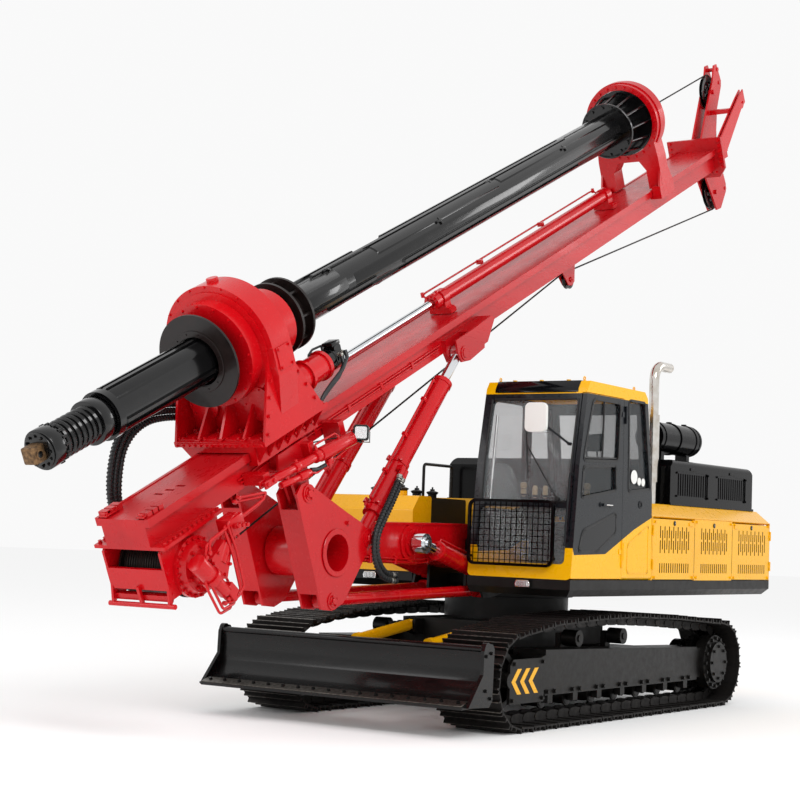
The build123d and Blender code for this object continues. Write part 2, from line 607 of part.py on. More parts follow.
def cab_glass():
    reach = CAB_INNER_Y + 71, SIDE_Y - 71
    panes = []
    for z0, z1 in ((1835, 2137), (2137, 2689), (1321, 1779)):
        x0, x1 = front_pane(z0, z1)
        panes.append(slab([(x0, z0), (x0 + PANE_THICK, z0), (x1 + PANE_THICK, z1), (x1, z1)], *reach))
    # the windscreen's two flat runs meet at the bend and its corners follow the opening
    screen = (panes[0] + panes[1]) & front_opening(grown(WINDSCREEN, 1), 60)
    lower = panes[2] & front_opening(grown(LOWER_SCREEN, 1), 40)
    quarter = rounded(grown(QUARTER_PANE, 2), SIDE_Y - 25, SIDE_Y - 25 + PANE_THICK, 29)
    inner = rounded(grown(INNER_PANE, 2), CAB_INNER_Y + 20, CAB_INNER_Y + 20 + PANE_THICK, 49)
    inner_quarter = rounded(grown(INNER_QUARTER, 2), CAB_INNER_Y + 20, CAB_INNER_Y + 20 + PANE_THICK, 29)
    low, high = [-167 + 127 * (z - 1934) / (2780 - 1934) + 22 for z in (1992, 2638)]
    rear = [(low, 1992), (low + PANE_THICK, 1992), (high + PANE_THICK, 2638), (high, 2638)]
    return screen + lower + quarter + inner + inner_quarter + slab(rear, CAB_INNER_Y + 91, SIDE_Y - 91)


def cab_door():
    leaf = slab(DOOR_OUTLINE, SIDE_Y - 42, SIDE_Y)
    for pane, radius in DOOR_PANES:
        leaf -= rounded(pane, SIDE_Y - 60, SIDE_Y + 20, radius)
    # handle plate with its grip, and the middle barrels of the hinges
    leaf += rounded([(561, 1805), (816, 1805), (816, 1845), (561, 1845)], SIDE_Y, SIDE_Y + 8, 18)
    leaf += rounded([(600, 1812), (780, 1812), (780, 1838), (600, 1838)], SIDE_Y + 8, SIDE_Y + 26, 12)
    x, y = CAB_HINGE
    for z in CAB_HINGE_ZS:
        leaf -= rod((x, y, z - 3), (x, y, z + 153), 13)
        barrel = rod((x, y, z + 52), (x, y, z + 98), 10) + block(
            (x, x + 62), (SIDE_Y + 1.5, SIDE_Y + 6), (z + 54, z + 96),
        )
        barrel += block((x + 32, x + 62), (SIDE_Y - 2, SIDE_Y + 2), (z + 54, z + 96))
        leaf += barrel - rod((x, y, z), (x, y, z + 150), 5.1)
    return leaf


def door_glass():
    return joined(
        [rounded(grown(pane, 2), SIDE_Y - 25, SIDE_Y - 25 + PANE_THICK, radius - 1) for pane, radius in DOOR_PANES]
    )


def front_guard():
    """Mesh guard: a rounded frame with upright and level wires in two layers, on two hinge arms."""
    (y0, y1), (z0, z1), x, rim = (383, 1207), (1290, 1840), 1310, 24

    def face(inset, radius):
        corners = [
            (y0 + inset, z0 + inset), (y1 - inset, z0 + inset), (y1 - inset, z1 - inset),
            (y0 + inset, z1 - inset),
        ]
        flat = make_face(Polyline(*[(x, y, z) for y, z in corners], close=True))
        return fillet(flat.vertices(), radius)

    frame = extrude(face(0, 70) - face(rim, 46), rim, dir=(1, 0, 0))
    wires = [block((x + 2, x + 8), (y - 3, y + 3), (z0 + 20, z1 - 20)) for y in steps(y0, y1, 16)]
    wires += [block((x + 8, x + 14), (y0 + 20, y1 - 20), (z - 3, z + 3)) for z in steps(z0, z1, 11)]
    arms = [block((1283, x + 4), (y, y + 24), (z0 + 60, z0 + 84)) for y in (y0 + 2, y1 - 26)]
    return frame + wires + arms


def seat():
    pan = block((120, 520), (640, 1080), (1330, 1560)) + block((200, 440), (700, 1020), (1240, 1330))
    cushion = rounded([(100, 1560), (610, 1560), (610, 1680), (100, 1670)], 620, 1100, 40)
    back = rounded([(60, 1640), (190, 1660), (70, 2280), (-40, 2250)], 630, 1090, 35)
    rest = rounded([(40, 2300), (120, 2300), (95, 2480), (15, 2480)], 740, 980, 25)
    stalks = [slab([(20, 2200), (45, 2200), (70, 2320), (45, 2320)], y, y + 16) for y in (800, 904)]
    arms = [rounded([(100, 1850), (420, 1850), (420, 1905), (100, 1905)], y, y + 50, 20) for y in (560, 1110)]
    arms += [block((60, 110), y, (1800, 1890)) for y in ((600, 640), (1080, 1120))]
    return pan + cushion + back + rest + stalks + arms


def console():
    """Side boxes with levers, and the travel pedals with their levers."""
    boxes = joined([block((250, 760), y, (1500, 1780)) for y in ((500, 600), (1120, 1220))])
    feet = joined([block((350, 500), y, (1240, 1500)) for y in ((500, 600), (1120, 1220))])
    levers = []
    for y in (550, 1170):
        levers.append(rod((700, y, 1770), (700, y, 1900), 10) + rod((700, y, 1890), (700, y, 2000), 24))
    for y in (800, 900):
        levers.append(block((960, 1120), (y - 35, y + 35), (1240, 1262)))
        levers.append(rod((1000, y, 1255), (940, y, 1900), 9) + rod((943, y, 1870), (936, y, 1960), 20))
    return boxes + feet + joined(levers)


def cab_fittings():
    """Mirror on its arm, and the grab rail on the front pillar beside the door."""
    arm = rod((1162, 1250, 2310), (1200, 1250, 2310), 14) + rod((1190, 1250, 2310), (1330, 1060, 2480), 10)
    head = make_face(
        Polyline((1318, 917, 2399), (1318, 1117, 2399), (1318, 1117, 2641), (1318, 917, 2641), close=True)
    )
    shell = extrude(fillet(head.vertices(), 45), 34, dir=(1, 0, 0))
    # ends of the rail, and where its feet meet the pillar
    y = SIDE_Y - 61
    rail = rod((1296, y, 1480), (1232, y, 2060), 9)
    for x, z, face in ((1296, 1480, 1262), (1232, 2060, 1199)):
        rail += rod((face, y, z), (x, y, z), 9) + Pos(x, y, z) * Sphere(9)
    return arm + shell + rail


def work_lamps():
    """Two lamps let into the skirt's front edge: a bezel round a domed lens."""
    lamps = []
    for x, y in ((CAB_FRONT, 925), (1010, -800)):
        lamps.append(section([(y - 62, 1119), (y + 62, 1119), (y + 62, 1181), (y - 62, 1181)], x, x + 34))
        lamps.append(
            section([(y - 48, 1130), (y + 48, 1130), (y + 48, 1170), (y - 48, 1170)], x + 34, x + 46)
        )
    return joined(lamps)


def fuel_tank():
    """Tank with a sloped front and two filler necks, each with a winged cap."""
    outline = [(740, DECK_TOP), (1035, DECK_TOP), (1035, 1738), (935, 1863), (740, 1863)]
    tank = slab(outline, 2 - SIDE_Y, -CAB_INNER_Y)
    tank = fillet(tank.edges().filter_by(Axis.Y).sort_by(Axis.Z)[-3:], 30)
    for y in (-620, -900):
        tank += rod((838, y, 1850), (838, y, 1905), 46)
    return tank


def battery_box():
    box = slab([(127, DECK_TOP), (736, DECK_TOP), (736, 1853), (127, 1853)], 2 - SIDE_Y, -CAB_INNER_Y - 20)
    box = fillet(box.edges().filter_by(Axis.Y).sort_by(Axis.Z)[-2:], 25)
    # the two caps on its lid
    for k in range(2):
        box += rod((300 + 260 * k, -650, 1853), (300 + 260 * k, -650, 1890), 40)
    return box


# Boom and bracket ---------------------------------------------------------------------------------


def boom():
    """Box beam with bolted eyes at both ends and bosses for the luff cylinders' pins."""
    outline = [(907, 1610), (1000, 1627), (2370, 1607), (3177, 1535), (3177, 1290), (2300, 1282),
               (1800, 1270), (1500, 1311), (907, 1245)]
    inside = [
        (1100, 1600), (2370, 1585), (2950, 1525), (2950, 1310), (1800, 1292), (1500, 1333), (1100, 1290),
    ]
    beam = slab(outline, -BOOM_HALF, BOOM_HALF) - slab(inside, -BOOM_HALF + 14, BOOM_HALF - 14)
    beam += across(BOOM_REAR, 182, -BOOM_HALF, BOOM_HALF) + across(
        BOOM_FRONT, BOOM_EYE, -BOOM_HALF, BOOM_HALF,
    )
    # edges of the top plate, which stay inside the bracket's cheeks
    lip = [(1080, 1627), (2370, 1607), (2960, 1556), (2960, 1538), (2370, 1589), (1080, 1609)]
    beam += both(slab(lip, BOOM_HALF, BRACKET_INNER - 6))
    for radius, reach in ((150, 182), (110, 205), (62, 214)):
        beam += across(LUFF_HEAD, radius, -reach, reach)
    beam -= across(BOOM_REAR, 46, -BOOM_HALF, BOOM_HALF)
    beam -= across(BOOM_FRONT, 162, -BOOM_HALF, BOOM_HALF)
    return beam


def lower_links():
    link = rod_xz(LINK_REAR, LINK_FRONT, LINK_Y, 46)
    for pin in (LINK_REAR, LINK_FRONT):
        link += across(pin, 62, LINK_Y - 50, LINK_Y + 50)
    for pin in (LINK_REAR, LINK_FRONT):
        link = drilled(link, pin, 31, LINK_Y)
    return both(link)


def luff_barrels():
    tube = across(LUFF_FOOT, 66, LUFF_Y - 50, LUFF_Y + 50)
    tube += rod_xz(LUFF_FOOT, along(LUFF_FOOT, LUFF_HEAD, 170), LUFF_Y, 45)
    tube += rod_xz(along(LUFF_FOOT, LUFF_HEAD, 150), along(LUFF_FOOT, LUFF_HEAD, 790), LUFF_Y, 76)
    tube -= rod_xz(along(LUFF_FOOT, LUFF_HEAD, 350), along(LUFF_FOOT, LUFF_HEAD, 800), LUFF_Y, 46)
    return both(drilled(tube, LUFF_FOOT, 33, LUFF_Y))


def luff_rods():
    """Rods with their pins, which end beside the boom's bosses."""
    shape = rod_xz(along(LUFF_FOOT, LUFF_HEAD, 520), LUFF_HEAD, LUFF_Y, 45)
    shape += across(LUFF_HEAD, 82, LUFF_Y - 45, LUFF_Y + 50)
    shape += across(LUFF_HEAD, 56, LUFF_Y - 58, LUFF_Y + 66) + across(LUFF_HEAD, 30, LUFF_Y + 66, LUFF_Y + 78)
    return both(shape)


def mast_bracket():
    outline = [(3588, 1874), (3650, 1850), (3700, 1776), (3336, 932), (3200, 922), (3062, 978),
               (2715, 1440), (2712, 1500), (2860, 1592), (3067, 1669)]
    side = slab(outline, BRACKET_INNER, BRACKET_INNER + PLATE) + slab(
        outline, BRACKET_OUTER - PLATE, BRACKET_OUTER,
    )
    # front plate, short of the apex so that the mast's lugs swing past it
    (x0, z0), (x1, z1) = along((3700, 1776), (3336, 932), 122), along((3700, 1776), (3336, 932), 800)
    side += slab([(x0 - 40, z0 + 8), (x0, z0), (x1, z1), (x1 - 40, z1 + 12)], BRACKET_INNER, BRACKET_OUTER)
    for pin, radius in ((APEX, 34), (TILT_FOOT, 38), (LINK_FRONT, 30)):
        side += across(pin, radius, BRACKET_INNER, BRACKET_OUTER)
        side += across(pin, radius + 36, BRACKET_OUTER, BRACKET_OUTER + 8)
        side += across(pin, radius + 16, BRACKET_OUTER + 8, BRACKET_OUTER + 14)
    side -= across(BOOM_FRONT, 140, BRACKET_INNER, BRACKET_OUTER)
    tube = across(BOOM_FRONT, 160, -BRACKET_OUTER - 6, BRACKET_OUTER + 6, 140)
    return both(side) + tube


def mast_barrels():
    """Tilt cylinders: eye, tube, head nut and two clamp bands, with the hoses' ports on the cab side."""
    foot, head = TILT_FOOT, at(*TILT_HEAD)

    def run(start, end, radius):
        return rod_xz(along(foot, head, start), along(foot, head, end), TILT_Y, radius)

    tube = across(foot, 74, TILT_Y - 58, TILT_Y + 58) + run(0, 260, 52) + run(240, 1690, 78) + run(
        1690, 1728, 84,
    )
    tube += run(300, 345, 86) + run(760, 805, 86)
    tube = drilled(tube - run(420, 1740, 43), foot, 39, TILT_Y)
    ports = []
    start, towards = (Vector(*row[:3]) for row in TILT_ROUTE[:2])
    back = (start - towards).normalized() * 90
    for k in range(TILT_COUNT):
        place = Vector(*beside(tuple(start), TILT_ROUTE[0][3:], k))
        ports.append(rod(tuple(place), tuple(place + back), TILT_HOSE + 5))
    (x0, z0), (x1, z1) = along(foot, head, 668), along(foot, head, 712)
    plate = slab([(x0, z0), (x0 + 55, z0 + 47), (x1 + 55, z1 + 47), (x1, z1)], TILT_Y + 60, start.Y)
    return both(tube) + joined(ports) + plate


def mast_rods():
    """Rods with their pins, which end between the mast's ears."""
    foot, head = TILT_FOOT, at(*TILT_HEAD)
    shape = rod_xz(along(foot, head, 700), head, TILT_Y, 42)
    shape += across(head, 68, TILT_Y - 38, TILT_Y + 38)
    return both(shape)


# Mast ---------------------------------------------------------------------------------------------


def mast():
    """Box beam under two rails, with its hinge lugs, cylinder ears, rope wheel cheeks and stops."""
    outer = [
        (RAIL_HALF, 0), (RAIL_HALF, -60), (BOX_HALF, -60), (BOX_HALF, -MAST_DEPTH), (-BOX_HALF, -MAST_DEPTH),
        (-BOX_HALF, -60), (-RAIL_HALF, -60), (-RAIL_HALF, 0),
        (-RAIL_HALF + 28, 0), (-RAIL_HALF + 28, -6), (RAIL_HALF - 28, -6), (RAIL_HALF - 28, 0),
    ]
    inner_half = BOX_HALF - 14
    inner = [
        (inner_half, -22), (inner_half, 16 - MAST_DEPTH), (-inner_half, 16 - MAST_DEPTH), (-inner_half, -22),
    ]
    beam = mast_section(outer, 0, MAST_LENGTH) - mast_section(inner, 20, MAST_LENGTH - 40)
    flange = [(320, 130), (320, -220), (250, -310), (-250, -310), (-320, -220), (-320, 130)]
    beam += mast_section(flange, MAST_LENGTH - 35, MAST_LENGTH)
    # three slots in the face near the foot
    beam -= [
        mast_block((420 + 75 * k, 445 + 75 * k), (-60 + 40 * k, 20 + 40 * k), (-30, 5)) for k in range(3)
    ]
    # hinge cradle with its two pairs of lugs
    cradle = mast_block((1330, 1800), (-320, 320), (-MAST_DEPTH - 60, -MAST_DEPTH + 10))
    gusset = [(1380, -105), (1750, -105), (1790, -MAST_DEPTH), (1340, -MAST_DEPTH)]
    floor = mast_block((1340, 1790), (BOX_HALF - 4, 316), (-MAST_DEPTH, -MAST_DEPTH + 20))
    cradle += both(mast_slab(gusset, 296, 316) + floor)
    cradle += both(
        joined([mast_block((s, s + 20), (BOX_HALF - 4, 300), (-MAST_DEPTH, -107)) for s in (1400, 1560, 1710)])
    )
    lug = [(1440, -250), (1680, -250), (1620, -540), (HINGE[0], -560), (1478, -540)]
    ears = mast_slab(lug, 225, 250) + mast_slab(lug, 300, 325)
    ears -= mast_rod((HINGE[0], 220, HINGE[1]), (HINGE[0], 330, HINGE[1]), 36)
    # ears of the tilt cylinders' heads, with a sloped box above
    head = [(3940, -120), (4450, -120), (4350, -330), (4090, -350), (3960, -320), (3930, -220)]
    inner_ear = mast_slab(head, BOX_HALF - 4, TILT_Y - 46)
    outer_ear = mast_slab(head, TILT_Y + 46, 350)
    web = mast_slab([(4180, -122), (4560, -108), (4600, -150), (4420, -300), (4180, -300)], BOX_HALF - 4, 350)
    caps = mast_rod((TILT_HEAD[0], 350, TILT_HEAD[1]), (TILT_HEAD[0], 358, TILT_HEAD[1]), 62)
    caps += mast_rod((TILT_HEAD[0], 358, TILT_HEAD[1]), (TILT_HEAD[0], 364, TILT_HEAD[1]), 40)
    beam += cradle + both(ears + inner_ear + outer_ear + web + caps)
    # cheeks and axle of the rope's guide wheel
    s, n = IDLER_SHEAVE
    cheek = [
        (s - 170, -MAST_DEPTH + 4), (s + 170, -MAST_DEPTH + 4), (s + 62, n - 40), (s, n - 62),
        (s - 62, n - 40),
    ]
    beam += both(mast_slab(cheek, 24, 36)) + mast_rod((s, -44, n), (s, 44, n), 26)
    # end stops of the power head, three blocks a side
    stops = [mast_block((s, s + 46), (150, 225), (-6, 34)) for s in (30, 90, 150)]
    return beam + both(joined(stops))


def mast_head():
    """Main arm, strut and auxiliary arm above the top flange, and cheeks of the lower sheave."""
    end = MAST_LENGTH
    root = mast_block((end, end + 455), (-160, 160), (-200, -120))
    main = [(end, 60), (end, -200), (end + 335, -160), (end + 595, 330), (end + 795, 540), (end + 820, 600),
            (end + 770, 800), (end + 705, 800), (end + 595, 640), (end + 435, 500)]
    arm = mast_slab(main, 42, 62)
    (s, n), (low_s, low_n) = HEAD_SHEAVE, LOWER_SHEAVE
    lower = [(end, -180), (end + 435, -180), (end + 500, -520), (end + 470, -600), (low_s + 80, low_n - 210),
             (low_s - 30, low_n - 200), (end, -300)]
    cheek = mast_slab(lower, 42, 62)
    back = mast_block((end + 35, end + 335), (-62, 62), (-196, -120))
    # pins that tie the arm plates at the top, and the wheels' axles
    tie = mast_rod((end + 770, -70, 740), (end + 770, 70, 740), 22) + mast_rod(
        (end + 760, -70, 590), (end + 760, 70, 590), 22,
    )
    tie += mast_rod((end + 455, -70, -560), (end + 455, 70, -560), 20)
    axles = mast_rod((s, -84, n), (s, 84, n), 26) + mast_rod((low_s, -84, low_n), (low_s, 84, low_n), 26)
    aux = [
        (end, 120), (end, -60), (end + 95, -60), (end + 675, 290), (end + 795, 330), (end + 785, 480),
        (end + 635, 420),
    ]
    side_arm = mast_slab(aux, AUX_Y - 34, AUX_Y - 18) + mast_slab(aux, AUX_Y + 4, AUX_Y + 20)
    side_arm += mast_block((end, end + 115), (AUX_Y - 34, AUX_Y + 20), (-60, 60))
    side_arm += mast_rod(
        (AUX_SHEAVE[0], AUX_Y - 44, AUX_SHEAVE[1]), (AUX_SHEAVE[0], AUX_Y + 30, AUX_SHEAVE[1]), 14,
    )
    strut = mast_block((end + 395, end + 445), (50, AUX_Y - 20), (300, 350))
    link = mast_block((end, end + 115), (-200, AUX_Y), (-40, 40))
    # ribs between the flange and the root
    ribs = [
        mast_slab([(end, 110), (end, -60), (end + 150, -60)], y - 8, y + 8) for y in (-190, -120, 120, 230)
    ]
    return both(arm + cheek) + root + back + tie + axles + side_arm + strut + link + joined(ribs)


def sheave(place, radius, y, half=18):
    """A rope wheel turned from one section with its groove, and with holes through its web."""
    bore = 27 if radius > 80 else 15
    groove, web = radius * 0.18, half * 0.45
    hub, rim = bore + radius * 0.12, radius * 0.76
    profile = [
        (bore, -half), (hub, -half), (hub + 4, -web), (rim - 4, -web), (rim, -half), (radius, -half),
        (radius - groove, -half * 0.2), (radius - groove, half * 0.2), (radius, half), (rim, half),
        (rim - 4, web), (hub + 4, web), (hub, half), (bore, half),
    ]
    wheel = turned(at(*place), [(r, y + depth) for r, depth in profile])
    if radius > 100:
        middle = (hub + rim) / 2
        for k in range(6):
            turn = 2 * pi * k / 6
            s, n = place[0] + middle * cos(turn), place[1] + middle * sin(turn)
            wheel -= mast_rod((s, y - half, n), (s, y + half, n), (rim - hub) * 0.3)
    return wheel


def winch_frame():
    """The cage at the mast's foot: rounded cheeks, cross plates and the winch's gearbox and motor."""
    s, n = DRUM
    flange = mast_block((0, 660), (-320, 320), (-MAST_DEPTH, -MAST_DEPTH + 25))
    flange -= mast_block((-10, 700), (-BOX_HALF - 0.2, BOX_HALF + 0.2), (-MAST_DEPTH, 0))
    cheek = [(2, -600), (2, -MAST_DEPTH), (640, -MAST_DEPTH), (640, -470), (470, -600)]
    side = mast_rounded(cheek, 246, 266, 45)
    # the cage's cross plates: end plate with a wide opening, lower plate and head plate
    front = mast_block((0, 24), (-266, 266), (-530, -375))
    lower = mast_block((2, 50), (-266, 266), (-600, -570)) + mast_block((540, 590), (-266, 266), (-500, -478))
    back = mast_block((600, 640), (-266, 266), (-440, -MAST_DEPTH))
    bar = mast_rod((-20, -300, -636), (-20, 300, -636), 18)
    struts = mast_block((-26, 0), (-12, 12), (-650, -500))
    ends = mast_slab([(-30, -650), (60, -560), (60, -500), (0, -500), (-30, -610)], 246, 266)
    # pads for the bearing, then on the near side the gearbox with its flange and the motor
    bearing = turned(at(s, n), [(60, 266), (150, 266), (150, 280), (110, 300), (60, 300)])
    gearbox = turned(
        at(s, n), [(0, 262), (214, 262), (214, 296), (190, 300), (176, 350), (128, 362), (120, 420), (0, 420)],
    )
    motor = mast_slab(
        [(s - 70, n - 66), (s + 62, n - 110), (s + 200, n + 90), (s + 130, n + 150), (s - 40, n + 84)], 420,
        490,
    )
    motor += mast_rod((s + 60, 455, n + 10), (s + 250, 455, n + 190), 48)
    valve = mast_block((s + 215, s + 300), (400, 510), (n + 150, n + 235))
    frame = flange + both(side + ends) + front + lower + back + bar + struts
    return frame + mirror(bearing, about=Plane.XZ) + gearbox + motor + valve


def winch_drum():
    """Rope drum with its two flanges, full of rope to a little below their edges."""
    half, rim, core, wound = 228, 215, 150, 185
    profile = [
        (0, -half), (rim, -half), (rim, 18 - half), (wound, 22 - half), (wound, half - 22), (rim, half - 18),
        (rim, half), (0, half),
    ]
    drum = turned(at(*DRUM), profile)
    return drum - both(turned(at(*DRUM), [(0, half), (core, half), (core, half - 8), (0, half - 8)]))


def mast_rope():
    """The winch rope along the mast's rear, off the drum's wound rope and past the guide wheel."""
    (s, n), (low_s, low_n) = IDLER_SHEAVE, LOWER_SHEAVE
    runs = (((560, -655), (s - 40, n + 89)), ((s + 60, n + 70), (low_s + 20, low_n - SHEAVE_RADIUS - 11)))
    return joined([mast_rod((a[0], 0, a[1]), (b[0], 0, b[1]), 9) for a, b in runs])


def crowd_barrel():
    """Cylinder that slides the power head, on two saddles with clamp bands."""
    (s0, s1), n, bore = CROWD, CROWD_N, 34
    tube = mast_rod((s0, 0, n), (s1, 0, n), 60) + mast_rod((s0, 0, n), (s0 + 76, 0, n), 72)
    for s in (s0 + 106, s1 - 104):
        saddle = [(-110, 0), (-110, 34), (-66, 60), (-66, n), (66, n), (66, 60), (110, 34), (110, 0)]
        tube += mast_section(saddle, s, s + 90) + mast_rod((s, 0, n), (s + 90, 0, n), 74)
    tube += mast_block((s1, s1 + 26), (-30, 30), (n - 30, n + 30))
    return tube - mast_rod((s0 - 10, 0, n), (s1 - 60, 0, n), bore)


def crowd_rod():
    return mast_rod((1900, 0, CROWD_N), (CROWD[0] + 486, 0, CROWD_N), 33)


def power_head():
    """Sliding base with ribbed claws, and the gearbox housing round the drive sleeve."""
    s0, s1 = 1140, 1950
    base = mast_block((s0, s1), (-HEAD_HALF, HEAD_HALF), (58, 95))
    claw = [
        (RAIL_HALF + 4, 60), (RAIL_HALF + 4, -66), (RAIL_HALF - 26, -66), (RAIL_HALF - 26, -95),
        (RAIL_HALF + 60, -95),
        (RAIL_HALF + 60, 60),
    ]
    rib = [(RAIL_HALF + 58, 60), (HEAD_HALF - 10, 60), (RAIL_HALF + 58, -80)]
    claws = mast_section(claw, s0 + 20, s1 - 20)
    claws += joined([mast_section(rib, s, s + 14) for s in range(s0 + 40, s1 - 40, 118)])
    base += both(claws) + mast_block((s0 + 20, s1 - 20), (-RAIL_HALF - 20, RAIL_HALF + 20), (4, 60))
    # gearbox housing: round over the kelly, its sides running down to the base
    body = [(400, 95), (487, 500), (487, KELLY_N), (-487, KELLY_N), (-487, 500), (-400, 95)]
    base += mast_section(body, 1400, 1620)
    base += kelly_rod(1400, 1620, 487) + kelly_rod(1270, 1400, 389) + kelly_rod(1620, 2000, 270)
    base += kelly_rod(1386, 1400, 440) + kelly_rod(1620, 1640, 452) + kelly_rod(1640, 1700, 330)
    side = mast_slab([(1150, 95), (1900, 95), (1620, 640), (1400, 640)], HEAD_HALF - 20, HEAD_HALF)
    side += mast_slab([(1160, 95), (1400, 95), (1400, 330)], 200, 220) + mast_slab(
        [(1620, 95), (1890, 95), (1620, 480)], 120, 140,
    )
    side += mast_rod((1620, 258, 300), (1900, 258, 300), 110) + mast_rod(
        (1372, 258, 300), (1400, 258, 300), 130,
    )
    base += both(side) + mast_slab([(1160, 95), (1400, 95), (1400, 400)], -12, 12)
    base += mast_block((1860, 1900), (-70, 70), (80, 190))
    # ports of the three feed hoses
    x, y, z, dx, dz = FEED_ROUTE[-1]
    for k in range(FEED_COUNT):
        px, end, pz = beside((x, y, z), (dx, dz), k)
        base += across((px, pz), FEED_HOSE + 6, end + 6, -HEAD_HALF + 4)
    return base - kelly_rod(1200, 2100, 222)


def head_motors():
    """Two hydraulic motors on their planet gears, each turned from one section."""
    motors = []
    for y in (-258, 258):
        gear = mast_rod((1900, y, 300), (2197, y, 300), 105) + mast_rod((1930, y, 300), (1960, y, 300), 125)
        gear += mast_rod((2160, y, 300), (2197, y, 300), 118) + mast_rod((2197, y, 300), (2400, y, 300), 78)
        block_end = mast_block((2330, 2417), (y - 52, y + 52), (240, 400))
        gear += fillet(block_end.edges().filter_by(Axis.Y), 22)
        motors.append(gear)
    return joined(motors)


def drive_sleeve():
    sleeve = kelly_rod(1150, 2240, 214, 184) + kelly_rod(1145, 1165, 350, 184)
    for s in (2060, 2200):
        sleeve += kelly_rod(s, s + 24, 290, 184)
    for k in range(8):
        turn = 2 * pi * k / 8
        y, n = 250 * cos(turn), KELLY_N + 250 * sin(turn)
        sleeve += mast_rod((2070, y, n), (2210, y, n), 14)
    return sleeve


def kelly_guide():
    """Guide frame that slides on the rails, with the kelly's bearing in its arch."""
    s0, s1 = GUIDE, GUIDE + 190
    outline = [(-340, -8), (-340, 320), (-300, KELLY_N), (300, KELLY_N), (340, 320), (340, -8)]
    frame = mast_section(outline, s0, s1) + kelly_rod(s0, s1, 400) + kelly_rod(s0 + 60, s1 - 60, 412)
    frame -= mast_section(
        [(-185, -20), (-185, 200), (-120, 300), (120, 300), (185, 200), (185, -20)], s0 - 5, s1 + 5,
    )
    frame -= mast_block((s0 - 5, s1 + 5), (-RAIL_HALF - 5, RAIL_HALF + 5), (-70, 6))
    claw = [
        (RAIL_HALF + 5, 0), (RAIL_HALF + 5, -66), (RAIL_HALF - 26, -66), (RAIL_HALF - 26, -92), (340, -92),
        (340, 0),
    ]
    # feet run on above and below the frame, held by ribs
    foot = mast_section(claw, s0 - 70, s1 + 70) + mast_block(
        (s0 - 70, s1 + 70), (RAIL_HALF + 5, 340), (-8, 40),
    )
    foot += mast_slab([(s0 - 66, 40), (s0, 40), (s0, 190)], 318, 338) + mast_slab(
        [(s1 + 66, 40), (s1, 40), (s1, 190)], 318, 338,
    )
    return frame + both(foot) - kelly_rod(s0 - 10, s1 + 10, 342)


def kelly_outer():
    """Outer kelly tube with three pairs of stepped drive ribs and its bearing's ring and cage."""
    top = GUIDE + 260
    tube = kelly_rod(95, top, 160)
    # start and end station of each run, first and second rib of a pair
    for k in range(3):
        for shift, runs in (
            (-10, ((120, 3300), (3700, GUIDE - 100))), (10, ((120, 2200), (2600, GUIDE - 1300))),
        ):
            for s0, s1 in runs:
                bar = Box(s1 - s0, 26, 36)
                bar = chamfer(bar.edges().filter_by(Axis.Y).group_by(Axis.Z)[-1], 24)
                rib = Rot(-120 * k - shift, 0, 0) * Pos(0, 0, 160) * bar
                tube += place_on_kelly(rib, (s0 + s1) / 2)
    tube += kelly_rod(70, 130, 176)
    # bearing ring in the guide's arch, with the cage in front of it
    tube += kelly_rod(GUIDE + 10, GUIDE + 180, 336) + kelly_rod(GUIDE - 350, GUIDE - 326, 270)
    tube -= kelly_rod(60, top + 10, 146)
    for k in range(12):
        turn = 2 * pi * k / 12
        y0, n0 = 255 * cos(turn), KELLY_N + 255 * sin(turn)
        y1, n1 = 310 * cos(turn), KELLY_N + 310 * sin(turn)
        tube += mast_rod((GUIDE - 340, y0, n0), (GUIDE + 20, y1, n1), 13)
    return tube


def place_on_kelly(shape, station):
    """Moves a shape made about the X axis onto the kelly, X pointing down the mast."""
    x, z = at(station, KELLY_N)
    return Pos(x, 0, z) * Rot(0, MAST_LEAN, 0) * shape


def kelly_middle():
    return kelly_rod(40, GUIDE + 240, 136, 122)


def kelly_inner():
    """Inner kelly: square stub, foot flange with its spring, and the rope swivel on top."""
    top = GUIDE + 300
    tube = kelly_rod(-430, top, 112, 96) + kelly_rod(-445, -415, 150) + kelly_rod(top - 40, top + 40, 112)
    stub = mast_block((-650, -430), (-70, 70), (KELLY_N - 70, KELLY_N + 70))
    stub = chamfer(stub.edges().filter_by(Axis.Y).group_by(Axis.X)[-1], 12)
    stub -= mast_rod((-580, -80, KELLY_N), (-580, 80, KELLY_N), 26)
    coil = joined([kelly_rod(-400 + 55 * k, -365 + 55 * k, 138, 100) for k in range(8)])
    swivel = kelly_rod(top + 40, top + 260, 60) + kelly_rod(top + 120, top + 160, 68) + kelly_rod(
        top + 260, top + 500, 34,
    )
    ear = [
        (top + 480, KELLY_N - 34), (top + 560, KELLY_N - 34), (top + 590, KELLY_N),
        (top + 560, KELLY_N + 34), (top + 480, KELLY_N + 34),
    ]
    eye = mast_slab(ear, -16, 16)
    return tube + stub + coil + swivel + eye


def rounded(points, y0, y1, radius):
    """The outline of (x, z) points with rounded corners, from y0 to y1."""
    face = make_face(Polyline(*[(x, y0, z) for x, z in points], close=True))
    face = fillet(face.vertices(), radius)
    return extrude(face, y1 - y0, dir=(0, 1, 0))


def lower_face(points, z):
    """A flat face of (x, y) points at one height."""
    return make_face(Polyline(*[(x, y, z) for x, y in points], close=True))


def with_knuckles(post, hinge, z):
    """The post with a hinge's two outer barrels and its pin, and room for the leaf's barrel between."""
    x, y = hinge
    post += rod((x, y, z), (x, y, z + 90), 9)
    return post - rod((x, y, z + 30), (x, y, z + 60), 11) + rod((x, y, z), (x, y, z + 90), 4.5)


